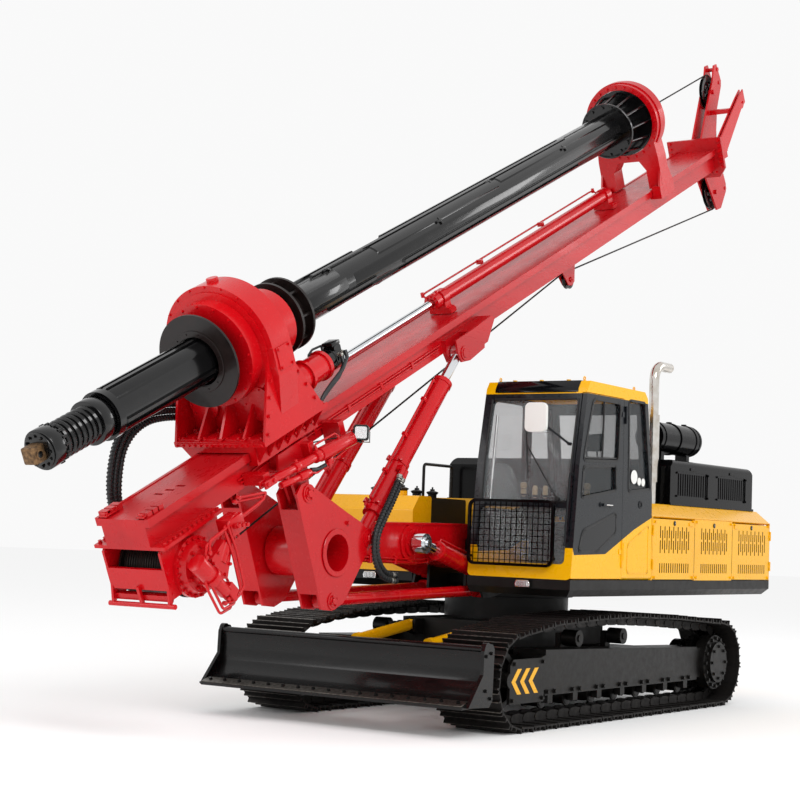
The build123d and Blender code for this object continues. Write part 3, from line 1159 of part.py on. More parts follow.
def cooling_slots(x0, x1):
    """Cutters for one side panel: two staggered upper rows and a lower row of upright slots."""
    columns = 14
    step = (x1 - x0 - 240) / columns
    cutters = []
    for k in range(columns):
        x = x0 + 120 + k * step
        # bottom and top of each slot in this column
        rows = ((1437, 1550), (1572, 1676), (1262, 1348)) if k % 2 else ((1470, 1640), (1262, 1348))
        cutters += [block((x, x + 18), (SIDE_Y - 40, SIDE_Y + 10), row) for row in rows]
    return cutters


def front_opening(pane, radius):
    """Cutter for a window in the slanted front, from its (y, z) corners."""
    face = make_face(Polyline(*[(950, y, z) for y, z in pane], close=True))
    return extrude(fillet(face.vertices(), radius), 450, dir=(1, 0, 0))


def steps(low, high, count):
    """The places that divide a length into count equal parts."""
    return [low + (high - low) * k / count for k in range(1, count)]


def beside(place, shift, k):
    """A place moved k times by its row's shift."""
    return place[0] + k * shift[0], place[1], place[2] + k * shift[1]


def hose(points, radius):
    """A hose along its points: straight runs joined by tangent arcs, each as wide as its runs allow."""
    radii = []
    for a, b, c in zip(points, points[1:], points[2:]):
        before, after = Vector(*b) - Vector(*a), Vector(*c) - Vector(*b)
        turn = radians(before.get_angle(after))
        radii.append(0.45 * min(before.length, after.length) / tan(turn / 2))
    path = FilletPolyline(*points, radius=radii)
    tube = sweep(Plane(origin=path @ 0, z_dir=path % 0) * Circle(radius), path=path)
    share = tube.volume / (pi * radius * radius * path.length)
    print("hose", round(path.length), "mm, radii", [round(r) for r in radii], "volume share", round(share, 4))
    return tube


def feed_hose(k):
    """One of the power head's hoses, which hang in nested loops on the far side of the mast."""
    return hose([beside((x, y, z), (dx, dz), k) for x, y, z, dx, dz in FEED_ROUTE], FEED_HOSE)


def tilt_hose(k):
    """One of the hoses of the cab side's tilt cylinder, down to its free end."""
    return hose([beside((x, y, z), (dx, dz), k) for x, y, z, dx, dz in TILT_ROUTE], TILT_HOSE)


def turned(place, profile):
    """A section of (radius, y) points revolved about the line along Y through an (x, z) place."""
    face = make_face(Polyline(*[(r, y, 0) for r, y in profile], close=True))
    return Pos(place[0], 0, place[1]) * revolve(face, Axis.Y)


def mast_rounded(points, y0, y1, radius):
    """The outline of (station, height) points with rounded corners, from y0 to y1."""
    return rounded([at(*point) for point in points], y0, y1, radius)


NODES = {
    "undercarriage": undercarriage,
    "track_left": lambda: track_loop(1),
    "track_right": lambda: track_loop(-1),
    "running_gear": running_gear,
    "dozer_blade": dozer_blade,
    "blade_barrels": blade_barrels,
    "blade_rods": blade_rods,
    "upper_frame": upper_frame,
    "counterweight": counterweight,
    "engine_block": engine_block,
    "body_panels": body_panels,
    "door_left_front": lambda: service_door(PANEL_XS[1], PANEL_XS[0]),
    "door_left_rear": lambda: service_door(PANEL_XS[3], PANEL_XS[2]),
    "door_right_front": lambda: mirror(service_door(PANEL_XS[1], PANEL_XS[0]), about=Plane.XZ),
    "door_right_rear": lambda: mirror(service_door(PANEL_XS[3], PANEL_XS[2]), about=Plane.XZ),
    "hood": hood,
    "air_cleaner": air_cleaner,
    "exhaust": exhaust,
    "cab_frame": cab_frame,
    "cab_glass": cab_glass,
    "cab_door": cab_door,
    "door_glass": door_glass,
    "front_guard": front_guard,
    "seat": seat,
    "console": console,
    "cab_fittings": cab_fittings,
    "work_lamps": work_lamps,
    "fuel_tank": fuel_tank,
    "battery_box": battery_box,
    "boom": boom,
    "lower_links": lower_links,
    "luff_barrels": luff_barrels,
    "luff_rods": luff_rods,
    "mast_bracket": mast_bracket,
    "mast_barrels": mast_barrels,
    "mast_rods": mast_rods,
    "mast": mast,
    "mast_head": mast_head,
    "head_sheave": lambda: sheave(HEAD_SHEAVE, SHEAVE_RADIUS, 0),
    "lower_sheave": lambda: sheave(LOWER_SHEAVE, SHEAVE_RADIUS, 0),
    "idler_sheave": lambda: sheave(IDLER_SHEAVE, 90, 0),
    "aux_sheave": lambda: sheave(AUX_SHEAVE, 70, AUX_Y - 7, 9),
    "feed_hose_a": lambda: feed_hose(0),
    "feed_hose_b": lambda: feed_hose(1),
    "feed_hose_c": lambda: feed_hose(2),
    "tilt_hose_a": lambda: tilt_hose(0),
    "tilt_hose_b": lambda: tilt_hose(1),
    "winch_frame": winch_frame,
    "winch_drum": winch_drum,
    "mast_rope": mast_rope,
    "crowd_barrel": crowd_barrel,
    "crowd_rod": crowd_rod,
    "power_head": power_head,
    "head_motors": head_motors,
    "drive_sleeve": drive_sleeve,
    "kelly_guide": kelly_guide,
    "kelly_outer": kelly_outer,
    "kelly_middle": kelly_middle,
    "kelly_inner": kelly_inner,
}

for node, make in NODES.items():
    shape = make()
    save(shape, node)
    print(node, len(shape.solids()), round(shape.volume / 1e6, 2), "litres")
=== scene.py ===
import math

import bmesh
import bpy
from mathutils import Matrix, Vector


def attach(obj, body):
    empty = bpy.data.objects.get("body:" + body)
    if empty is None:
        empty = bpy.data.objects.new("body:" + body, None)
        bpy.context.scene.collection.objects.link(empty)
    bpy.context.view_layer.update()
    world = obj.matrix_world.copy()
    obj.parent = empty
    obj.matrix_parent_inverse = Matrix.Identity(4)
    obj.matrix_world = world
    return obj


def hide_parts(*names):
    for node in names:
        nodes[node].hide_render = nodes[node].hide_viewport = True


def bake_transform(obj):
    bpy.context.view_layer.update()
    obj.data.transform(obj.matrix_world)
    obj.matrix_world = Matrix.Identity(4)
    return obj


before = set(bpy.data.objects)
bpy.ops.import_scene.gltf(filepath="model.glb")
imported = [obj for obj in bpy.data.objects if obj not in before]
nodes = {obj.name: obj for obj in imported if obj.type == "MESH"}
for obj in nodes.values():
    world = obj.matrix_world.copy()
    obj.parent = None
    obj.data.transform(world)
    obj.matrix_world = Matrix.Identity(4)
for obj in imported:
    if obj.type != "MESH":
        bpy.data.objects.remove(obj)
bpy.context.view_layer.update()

print("frame loaded:", len(nodes), "nodes")

# Machine axes: X forward, Y to the cab side, Z up. Sizes in the tables are millimetres.
lean = math.radians(25.75)
footPin = Vector((5159, 0, 1547))
mastUp = Vector((-math.cos(lean), 0, math.sin(lean)))
mastOut = Vector((math.sin(lean), 0, math.cos(lean)))
side = Vector((0, 1, 0))
skinY = 1352  # outer face of the cab side and the side panels
kellyHeight = 715


def mm(x, y, z):
    return Vector((x, y, z)) / 1000


def onMast(station, y, height):
    return (footPin + mastUp * station + side * y + mastOut * height) / 1000


def basis(place, xAxis, yAxis):
    zAxis = Vector(xAxis).cross(Vector(yAxis))
    turn = Matrix((xAxis, yAxis, zAxis)).transposed()
    return Matrix.Translation(place) @ turn.to_4x4()


def facing(place, axis):
    return Matrix.Translation(place) @ Vector(axis).to_track_quat("Z", "Y").to_matrix().to_4x4()


def sidePlane(y):  # outlines in x and z, thickness towards the far side
    return basis(mm(0, y, 0), (1, 0, 0), (0, 0, 1))


def frontPlane(x):  # outlines in y and z, thickness forwards
    return basis(mm(x, 0, 0), (0, 1, 0), (0, 0, 1))


def mastSide(y):  # outlines in station and height, thickness to the cab side
    return basis(onMast(0, y, 0), mastUp, mastOut)


def mastFace(height):  # outlines in station and -y, thickness away from the rails
    return basis(onMast(0, 0, height), mastUp, -side)


def mastSection(station):  # outlines in y and height, thickness down the mast
    return basis(onMast(station, 0, 0), side, mastOut)


# Shapes


def newShape():
    return bmesh.new()


def merge(shape, made, place=None, slot=0):
    if place is not None:
        bmesh.ops.transform(made, matrix=place, verts=made.verts)
    for face in made.faces:
        face.material_index = slot
    carrier = bpy.data.meshes.new("carrier")
    made.to_mesh(carrier)
    made.free()
    shape.from_mesh(carrier)
    bpy.data.meshes.remove(carrier)


def softenEdges(made, width, segments=2, angle=30):
    sharp = [e for e in made.edges if len(e.link_faces) == 2 and e.calc_face_angle(0) > math.radians(angle)]
    bmesh.ops.bevel(
        made, geom=sharp, offset=width / 1000, segments=segments, profile=0.5, affect="EDGES", material=-1
    )


def addBox(shape, x, y, z, edge=3, slot=0, place=None):
    made = bmesh.new()
    size = Matrix.Diagonal(((x[1] - x[0]) / 1000, (y[1] - y[0]) / 1000, (z[1] - z[0]) / 1000, 1))
    centre = Matrix.Translation(mm((x[0] + x[1]) / 2, (y[0] + y[1]) / 2, (z[0] + z[1]) / 2))
    bmesh.ops.create_cube(made, size=1, matrix=centre @ size)
    if edge:
        softenEdges(made, edge)
    merge(shape, made, place, slot)


def addRod(shape, start, end, radius, sides=20, edge=0, slot=0):
    made = bmesh.new()
    run = end - start
    bmesh.ops.create_cone(
        made, cap_ends=True, segments=sides, radius1=radius / 1000, radius2=radius / 1000, depth=run.length
    )
    if edge:
        softenEdges(made, edge, angle=60)
    merge(shape, made, facing((start + end) / 2, run), slot)


def addTurned(shape, profile, centre, axis, sides=32, slot=0):  # profile of radius and height in mm
    made = bmesh.new()
    points = [made.verts.new((radius / 1000, 0, height / 1000)) for radius, height in profile]
    edges = [made.edges.new(pair) for pair in zip(points, points[1:])]
    bmesh.ops.spin(
        made, geom=points + edges, cent=(0, 0, 0), axis=(0, 0, 1), angle=math.tau, steps=sides, use_merge=True
    )
    bmesh.ops.remove_doubles(made, verts=made.verts, dist=1e-5)
    bmesh.ops.recalc_face_normals(made, faces=made.faces)
    merge(shape, made, facing(centre, axis), slot)


def ringProfile(outer, inner, height, edge=2):
    return (
        (inner, 0), (outer - edge, 0), (outer, edge), (outer, height - edge), (outer - edge, height),
        (inner, height), (inner, 0),
    )


def wireProfile(ring, wire, sides=8):  # a ring of round wire
    turns = [math.tau * k / sides for k in range(sides + 1)]
    return [(ring + wire * math.cos(turn), wire * math.sin(turn)) for turn in turns]


def addPlate(shape, outline, place, thickness, edge=2, slot=0):
    made = bmesh.new()
    face = made.faces.new([made.verts.new((x / 1000, y / 1000, 0)) for x, y in outline])
    raised = bmesh.ops.extrude_face_region(made, geom=[face])
    tops = [v for v in raised["geom"] if isinstance(v, bmesh.types.BMVert)]
    bmesh.ops.translate(made, vec=(0, 0, thickness / 1000), verts=tops)
    bmesh.ops.recalc_face_normals(made, faces=made.faces)
    if edge:
        softenEdges(made, edge, segments=1)
    merge(shape, made, place, slot)


def addBolt(shape, place, axis, across=24):
    axis = Vector(axis).normalized()
    washer, head = across * 0.16, across * 0.62
    top = place + axis * washer / 1000
    addRod(shape, place - axis * 0.002, top, across * 0.72, sides=12)
    addRod(shape, top, top + axis * head / 1000, across * 0.56, sides=6)


def addBoltRing(shape, centre, axis, radius, count, across=24, start=0.0):
    place = facing(centre, axis)
    for k in range(count):
        turn = start + math.tau * k / count
        addBolt(shape, place @ mm(radius * math.cos(turn), radius * math.sin(turn), 0), axis, across)


def addBoltRow(shape, start, end, count, axis, across=20):
    for k in range(count):
        addBolt(shape, start.lerp(end, k / (count - 1)), axis, across)


def drawLine(name, places, radius, fine=3, along=6, smooth=True):
    curve = bpy.data.curves.new(name, "CURVE")
    curve.dimensions = "3D"
    curve.bevel_depth = radius / 1000
    curve.bevel_resolution = fine
    curve.use_fill_caps = True
    curve.resolution_u = along
    line = curve.splines.new("NURBS" if smooth else "POLY")
    line.points.add(len(places) - 1)
    for point, place in zip(line.points, places):
        point.co = (*place, 1)
    if smooth:
        line.order_u = 3
        line.use_endpoint_u = True
    carrier = bpy.data.objects.new(name, curve)
    bpy.context.scene.collection.objects.link(carrier)
    return carrier


def evaluated(carrier):
    return bpy.data.meshes.new_from_object(carrier.evaluated_get(bpy.context.evaluated_depsgraph_get()))


def takeMesh(carrier):  # the drawn line's mesh, with the line itself thrown away
    mesh = evaluated(carrier)
    curve = carrier.data
    bpy.data.objects.remove(carrier)
    bpy.data.curves.remove(curve)
    return mesh


def rounded(points, bend):  # control points that round each corner of a rigid pipe
    route = [points[0]]
    for before, corner, after in zip(points, points[1:], points[2:]):
        reach = min(bend / 1000, 0.45 * (corner - before).length, 0.45 * (after - corner).length)
        route += [
            corner + (before - corner).normalized() * reach, corner,
            corner + (after - corner).normalized() * reach,
        ]
    return route + [points[-1]]


def addPipe(shape, points, radius, bend=60, slot=0):
    mesh = takeMesh(drawLine("pipe", rounded(points, bend), radius))
    made = bmesh.new()
    made.from_mesh(mesh)
    bpy.data.meshes.remove(mesh)
    bmesh.ops.remove_doubles(made, verts=made.verts, dist=1e-6)
    bmesh.ops.recalc_face_normals(made, faces=made.faces)
    merge(shape, made, None, slot)


def stitch(shape, rings):  # faces between each ring of points and the next
    for first, second in zip(rings, rings[1:]):
        for j, start in enumerate(first):
            after = (j + 1) % len(first)
            shape.faces.new((start, first[after], second[after], second[j]))


def oblong(low, high, near, far):  # the four corners of an upright plate
    return (low, near), (high, near), (high, far), (low, far)


def finishPiece(shape, name, body, materials, replaced=()):
    for edge in shape.edges:
        edge.smooth = edge.calc_face_angle(0) < math.radians(38)
    for face in shape.faces:
        face.smooth = True
    mesh = bpy.data.meshes.new(name)
    shape.to_mesh(mesh)
    shape.free()
    piece = bpy.data.objects.new(name, mesh)
    bpy.context.scene.collection.objects.link(piece)
    for material in materials:
        mesh.materials.append(material)
    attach(piece, body)
    if replaced:
        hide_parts(*replaced)
    return piece


# Materials


def linear(hexText):
    values = [int(hexText[k:k + 2], 16) / 255 for k in (1, 3, 5)]
    return [v / 12.92 if v <= 0.04045 else ((v + 0.055) / 1.055) ** 2.4 for v in values] + [1.0]


def addNode(tree, kind, settings=None, links=None):
    node = tree.nodes.new(kind)
    for key, value in (settings or {}).items():
        if isinstance(key, int) or key in node.inputs:
            node.inputs[key].default_value = value
        else:
            setattr(node, key, value)
    for key, (source, output) in (links or {}).items():
        tree.links.new(source.outputs[output], node.inputs[key])
    return node


def startMaterial(name):
    material = bpy.data.materials.new(name)
    material.use_nodes = True
    tree = material.node_tree
    tree.nodes.clear()
    return material, tree


def objectPlace(tree, turn=(0, 0, 0), scale=(1, 1, 1)):
    coordinates = addNode(tree, "ShaderNodeTexCoord")
    return addNode(tree, "ShaderNodeMapping", {"Rotation": turn, "Scale": scale}, {"Vector": (coordinates, "Object")})


def perMetre(featureSize):  # noise scale for features of so many mm
    return 1000 / featureSize


def closeMaterial(tree, settings, links):
    shader = addNode(tree, "ShaderNodeBsdfPrincipled", settings, links)
    addNode(tree, "ShaderNodeOutputMaterial", None, {"Surface": (shader, "BSDF")})
    return shader


def spread(tree, source, low, high):  # remaps a pattern to a range
    return addNode(
        tree, "ShaderNodeMapRange",
        {"From Min": 0.3, "From Max": 0.7, "To Min": low, "To Max": high}, {"Value": (source, "Fac")},
    )


def blendColours(tree, first, second, amount):
    return addNode(
        tree, "ShaderNodeMix", {"data_type": "RGBA", 6: first, 7: second}, {0: (amount, 0)}
    )


def overlay(tree, tone, colour, amount):
    return addNode(tree, "ShaderNodeMix", {"data_type": "RGBA", 7: linear(colour)}, {0: (amount, 0), 6: (tone, 2)})


def insideZone(tree, zone):  # 1 where the reach along every direction lies between its two limits, in metres
    place = addNode(tree, "ShaderNodeTexCoord"), "Object"
    mask = None
    for direction, low, high, mirrored in zone["limits"]:
        reach = addNode(tree, "ShaderNodeVectorMath", {"operation": "DOT_PRODUCT", 1: direction}, {0: place}), "Value"
        if mirrored:
            reach = addNode(tree, "ShaderNodeMath", {"operation": "ABSOLUTE"}, {0: reach}), 0
        limits = {"operation": "COMPARE", 1: (low + high) / 2, 2: (high - low) / 2}
        test = addNode(tree, "ShaderNodeMath", limits, {0: reach})
        if mask:
            test = addNode(tree, "ShaderNodeMath", {"operation": "MULTIPLY"}, {0: (mask, 0), 1: (test, 0)})
        mask = test
    return mask


def paintedSteel(
    name, colour, shade, dustColour, dustShare, roughness, coat, cloud=700, shine=0.3, turn=(0, 0, 0),
    stretch=(1, 1, 1), zone=None,
):
    # sprayed enamel: even colour with slow clouds of tone, a thin film of dust and a wet-looking clear coat
    material, tree = startMaterial(name)
    place = objectPlace(tree, turn, stretch)
    clouds = addNode(tree, "ShaderNodeTexNoise", {"Scale": perMetre(cloud), "Detail": 4.0}, {"Vector": (place, 0)})
    specks = addNode(
        tree, "ShaderNodeTexNoise", {"Scale": perMetre(72), "Detail": 8.0, "Roughness": 0.7}, {"Vector": (place, 0)}
    )
    tone = blendColours(tree, linear(colour), linear(shade), spread(tree, clouds, 0.0, 1.0))
    if zone:
        tone = overlay(tree, tone, zone["colour"], insideZone(tree, zone))
    dusty = overlay(tree, tone, dustColour, spread(tree, specks, 0.0, dustShare))
    sheen = spread(tree, specks, roughness * 0.8, roughness * 1.3)
    peel = addNode(tree, "ShaderNodeTexNoise", {"Scale": perMetre(14), "Detail": 1.0}, {"Vector": (place, 0)})
    bump = addNode(tree, "ShaderNodeBump", {"Strength": 0.03, "Distance": 0.002}, {"Height": (peel, "Fac")})
    closeMaterial(
        tree, {"IOR": 1.5, "Specular IOR Level": shine, "Coat Weight": coat, "Coat Roughness": 0.06},
        {"Base Color": (dusty, 2), "Roughness": (sheen, 0), "Normal": (bump, 0)},
    )
    return material


def bareMetal(name, colour, shade, roughness, patch, metallic=1.0):
    # machined or worn metal: mirror-like with patches where handling has dulled it
    material, tree = startMaterial(name)
    place = objectPlace(tree)
    patches = addNode(tree, "ShaderNodeTexNoise", {"Scale": perMetre(patch), "Detail": 5.0}, {"Vector": (place, 0)})
    tone = blendColours(tree, linear(colour), linear(shade), spread(tree, patches, 0.0, 1.0))
    dulled = spread(tree, patches, roughness, roughness * 1.4)
    closeMaterial(tree, {"Metallic": metallic}, {"Base Color": (tone, 2), "Roughness": (dulled, 0)})
    return material


def moulded(name, colour, shade, roughness, grain=3, ior=1.5, zone=None):
    # moulded rubber or plastic: matt skin with a fine grain
    material, tree = startMaterial(name)
    place = objectPlace(tree)
    texture = addNode(tree, "ShaderNodeTexNoise", {"Scale": perMetre(grain), "Detail": 3.0}, {"Vector": (place, 0)})
    tone = blendColours(tree, linear(colour), linear(shade), spread(tree, texture, 0.0, 1.0))
    if zone:
        tone = overlay(tree, tone, zone["colour"], insideZone(tree, zone))
    bump = addNode(tree, "ShaderNodeBump", {"Strength": 0.15, "Distance": 0.001}, {"Height": (texture, "Fac")})
    closeMaterial(tree, {"IOR": ior, "Roughness": roughness}, {"Base Color": (tone, 2), "Normal": (bump, 0)})
    return material


def twoTone(name, upper, lower, edgeRamp, roofBand):
    # cab enamel: dark grey above, yellow below a slanting masked edge, and a yellow band along the roof
    material, tree = startMaterial(name)
    coordinates = addNode(tree, "ShaderNodeTexCoord")
    parts = addNode(tree, "ShaderNodeSeparateXYZ", None, {0: (coordinates, "Object")})
    along = addNode(
        tree, "ShaderNodeMapRange", {"From Min": edgeRamp[0][0] / 1000, "From Max": edgeRamp[-1][0] / 1000},
        {"Value": (parts, 0)},
    )
    ramp = addNode(tree, "ShaderNodeFloatCurve", None, {"Value": (along, 0)})
    line = ramp.mapping.curves[0]
    length = edgeRamp[-1][0] - edgeRamp[0][0]
    while len(line.points) < len(edgeRamp):
        line.points.new(0.5, 0.5)
    for point, (x, z) in zip(line.points, edgeRamp):
        point.location = ((x - edgeRamp[0][0]) / length, z / 3000)
        point.handle_type = "VECTOR"
    ramp.mapping.update()
    height = addNode(tree, "ShaderNodeMath", {"operation": "MULTIPLY", 1: 1 / 3.0}, {0: (parts, 2)})
    below = addNode(tree, "ShaderNodeMath", {"operation": "LESS_THAN"}, {0: (height, 0), 1: (ramp, 0)})
    above = addNode(tree, "ShaderNodeMath", {"operation": "GREATER_THAN", 1: roofBand / 1000}, {0: (parts, 2)})
    either = addNode(tree, "ShaderNodeMath", {"operation": "MAXIMUM"}, {0: (below, 0), 1: (above, 0)})
    tone = blendColours(tree, linear(upper), linear(lower), either)
    specks = addNode(
        tree, "ShaderNodeTexNoise", {"Scale": perMetre(60), "Detail": 6.0}, {"Vector": (coordinates, "Object")},
    )
    sheen = spread(tree, specks, 0.24, 0.34)
    closeMaterial(
        tree, {"IOR": 1.5, "Specular IOR Level": 0.25, "Coat Weight": 0.08, "Coat Roughness": 0.05},
        {"Base Color": (tone, 2), "Roughness": (sheen, 0)},
    )
    return material


def tintedGlass(name, tint, alpha, zone=None):
    # flat toughened glass with a grey tint: mostly see-through, with a clean reflection
    material, tree = startMaterial(name)
    settings = {
        "Base Color": linear(tint), "Roughness": 0.02, "IOR": 1.52, "Alpha": alpha, "Specular IOR Level": 0.9,
    }
    links = None
    if zone:
        inside = insideZone(tree, zone)
        tone = blendColours(tree, linear(tint), linear(zone["colour"]), inside)
        share = addNode(tree, "ShaderNodeMapRange", {"To Min": alpha, "To Max": zone["alpha"]}, {"Value": (inside, 0)})
        links = {"Base Color": (tone, 2), "Alpha": (share, 0)}
    closeMaterial(tree, settings, links)
    return material


mastTurn = (0, lean, 0)
# zones where a carried-over node has a second colour, a second paint or glass, and in the slots a painted shade:
# direction, low, high, and whether it holds on both sides
motorFlange = onMast(2199, 0, 0).dot(mastUp)
motorZone = {"colour": "#C4040F", "limits": ((mastUp, motorFlange - 9, motorFlange, False),)}
mirrorZone = {"colour": "#E6E6E2", "limits": (((1, 0, 0), 1.312, 2.312, False), ((0, 0, 1), 2.396, 3.396, False))}
screenZone = {
    "colour": "#E8EEF0", "alpha": 0.08, "limits": (((1, 0, 0), 1.02, 2.02, False), ((0, 1, 0), 0.44, 1.29, False)),
}
# painted shade: the slots' walls take a dark yellow-brown, standing for the shade that falls inside them
slotShadeZone = {
    "colour": "#5A3C04",
    "limits": (((1, 0, 0), -3.0, -0.26, False), ((0, 1, 0), 1.29, 1.3518, True), ((0, 0, 1), 1.262, 1.676, False)),
}
redEnamel = paintedSteel("red enamel sprayed on welded steel", "#C4040F", "#B4000C", "#C23A38", 0.04, 0.24, 0.14)
railEnamel = paintedSteel(
    "red enamel dulled by sliding claws and dust", "#BE0612", "#A8000C", "#B8403A", 0.06, 0.28, 0.10,
    cloud=260, turn=mastTurn, stretch=(0.12, 1, 1),
)
yellowLook = ("#EDAE00", "#E6A600", "#E8B424", 0.04, 0.28, 0.14)
yellowEnamel = paintedSteel("yellow enamel sprayed on sheet steel", *yellowLook)
# yellow enamel with painted shade in the slot zone
slotShadedPanelEnamel = paintedSteel("yellow enamel with painted shade inside its slots", *yellowLook, zone=slotShadeZone)
blackLook = ("#060607", "#0A0A0B", "#2A2826", 0.05, 0.18, 0.3, 300)
blackEnamel = paintedSteel("gloss black enamel on steel tube", *blackLook)
motorEnamel = paintedSteel("gloss black enamel, red on the gear case", *blackLook, zone=motorZone)
frameBlack = paintedSteel(
    "black chassis enamel with dust", "#080808", "#0F0E0D", "#332E29", 0.14, 0.42, 0.04, cloud=240, shine=0.2,
)
hoodBlack = paintedSteel("black enamel on pressed sheet", "#030304", "#050506", "#141414", 0.03, 0.2, 0.06, shine=0.1)
bladeBlack = paintedSteel(
    "black enamel scuffed by soil", "#060607", "#0C0B0B", "#3E3A36", 0.08, 0.24, 0.12, cloud=180, shine=0.22,
    stretch=(1, 0.25, 1),
)
driveBrown = paintedSteel("dark oiled steel plate", "#1B100F", "#0E0A09", "#3C302C", 0.10, 0.34, 0.12, cloud=120)
linkSteel = bareMetal("forged track steel, dusty", "#231F1D", "#141211", 0.48, patch=60, metallic=0.6)
polishedShoe = bareMetal("track steel polished by the ground", "#7C766F", "#4A4642", 0.34, patch=30)
chromeSteel = bareMetal("hard chromed steel rod", "#E4E6E8", "#CFD2D6", 0.10, patch=300)
exhaustSteel = bareMetal("chromed exhaust tube", "#DAD7D2", "#BDB4A8", 0.14, patch=90)
zincSteel = bareMetal("zinc plated fastener steel", "#B9B7B0", "#95928A", 0.32, patch=8)
bareIron = bareMetal("bare forged steel with rust film", "#8A6A48", "#4A3828", 0.46, patch=22, metallic=0.7)
ropeSteel = bareMetal("greased wire rope", "#36302D", "#171413", 0.42, patch=6, metallic=0.8)
blackRubber = moulded("moulded black rubber", "#0C0C0D", "#141415", 0.55)
hoseRubber = moulded("hydraulic hose rubber", "#101113", "#191A1D", 0.42, grain=5)
plasticLook = ("#0E1013", "#15171B", 0.5)
cabPlastic = moulded("grained dark ABS", *plasticLook, ior=1.35)
fittingPlastic = moulded("grained dark ABS with a white mirror shell", *plasticLook, ior=1.35, zone=mirrorZone)
beigeGrip = moulded("beige soft-touch plastic", "#9C8A68", "#8C7B5C", 0.5)
mirrorBack = moulded("white ABS shell", "#E6E6E2", "#DADAD6", 0.35)
seatCloth = moulded("woven seat cloth", "#17181B", "#202125", 0.95, grain=6, ior=1.3)
lampSilver = bareMetal("vacuum metallised lamp bowl", "#F0F0F0", "#E2E2E2", 0.08, patch=200)
clearLens = tintedGlass("clear lamp glass", "#F4F6F8", 0.25)
cabPane = tintedGlass("grey tinted cab glass, clear in the windscreen", "#1A2226", 0.34, screenZone)
doorPane = tintedGlass("grey tinted door glass", "#1A2226", 0.34)
lidGlass = paintedSteel("black glazed roof visor", "#06070A", "#090A0D", "#101114", 0.0, 0.14, 0.2, shine=0.2)
cabEnamel = twoTone(
    "cab enamel in grey and yellow", "#15181C", "#EDAE00",
    ((-186, 1742), (-156, 1738), (164, 1632), (691, 1414), (1238, 1399), (1291, 1518)), 2738,
)
print("materials made")

# Hoses first: routes repeat the CAD's corners as x, y, z and the x, z step to the next hose

feedHoses = {
    "names": ("feed_hose_a", "feed_hose_b", "feed_hose_c"), "radius": 20, "body": "mast_assembly",
    "lengths": (2.28, 2.04, 1.805), "end": "object", "lay": "hanging",
    "route": (
        (4193, -220, 1846, 50, -24), (4192, -300, 1838, 50, -22), (4196, -385, 1770, 49, -12),
        (4212, -445, 1660, 48, 6),
        (4300, -485, 1540, 37, 34), (4440, -512, 1478, 14, 49), (4590, -528, 1505, -14, 49),
        (4690, -530, 1610, -37, 34),
        (4725, -530, 1755, -49, 8), (4722, -530, 1910, -50, -4), (4695, -528, 2060, -48, -12),
        (4625, -524, 2195, -42, -28), (4515, -519, 2300, -31, -40), (4375, -516, 2370, -18, -47),
        (4225, -514, 2405, -8, -50), (4085, -512, 2420, 0, -50), (4000, -510, 2424, 0, -50),
        (3960, -486, 2427, 0, -50), (3951, -446, 2428, 0, -50),
    ),
}
tiltHoses = {
    "names": ("tilt_hose_a", "tilt_hose_b"), "radius": 18, "body": "tilt_cylinders",
    "lengths": (1.048, 1.148), "end": "fitting", "lay": "hanging",
    "route": (
        (2362, 400, 1949, 34, 29), (2440, 412, 1857, 34, 29), (2530, 424, 1752, 35, 28), (2630, 432, 1635, 36, 27),
        (2715, 436, 1522, 40, 21), (2736, 436, 1424, 45, 2), (2713, 434, 1327, 42, -17), (2652, 431, 1248, 28, -36),
        (2563, 428, 1201, 12, -44), (2464, 426, 1196, 1, -45),
    ),
}


def alongRoute(points):  # places read off the bare spline
    mesh = takeMesh(drawLine("reading", points, 0, fine=4, along=24))
    spots = [vertex.co.copy() for vertex in mesh.vertices]
    bpy.data.meshes.remove(mesh)
    return spots


def addWrap(shape, spots, radius, pitch, wire, sides=4, perTurn=12):  # a wire wound along the spots
    lengths = [0.0]
    for a, b in zip(spots, spots[1:]):
        lengths.append(lengths[-1] + (b - a).length)
    steps = int(lengths[-1] * 1000 / pitch * perTurn)
    normal = (spots[1] - spots[0]).orthogonal().normalized()
    rings = []
    here = 0
    for k in range(steps + 1):
        reach = lengths[-1] * k / steps
        while here < len(spots) - 2 and lengths[here + 1] < reach:
            here += 1
        run = spots[here + 1] - spots[here]
        ahead = run.normalized()
        middle = spots[here] + ahead * (reach - lengths[here])
        normal = (normal - ahead * normal.dot(ahead)).normalized()
        across = ahead.cross(normal)
        turn = math.tau * k / perTurn
        outward = normal * math.cos(turn) + across * math.sin(turn)
        centre = middle + outward * radius / 1000
        rings.append([
            shape.verts.new(centre + (outward * math.cos(q) + ahead * math.sin(q) * 1.5) * wire / 1000)
            for q in (math.tau * (j + 0.5) / sides for j in range(sides))
        ])
    stitch(shape, rings)


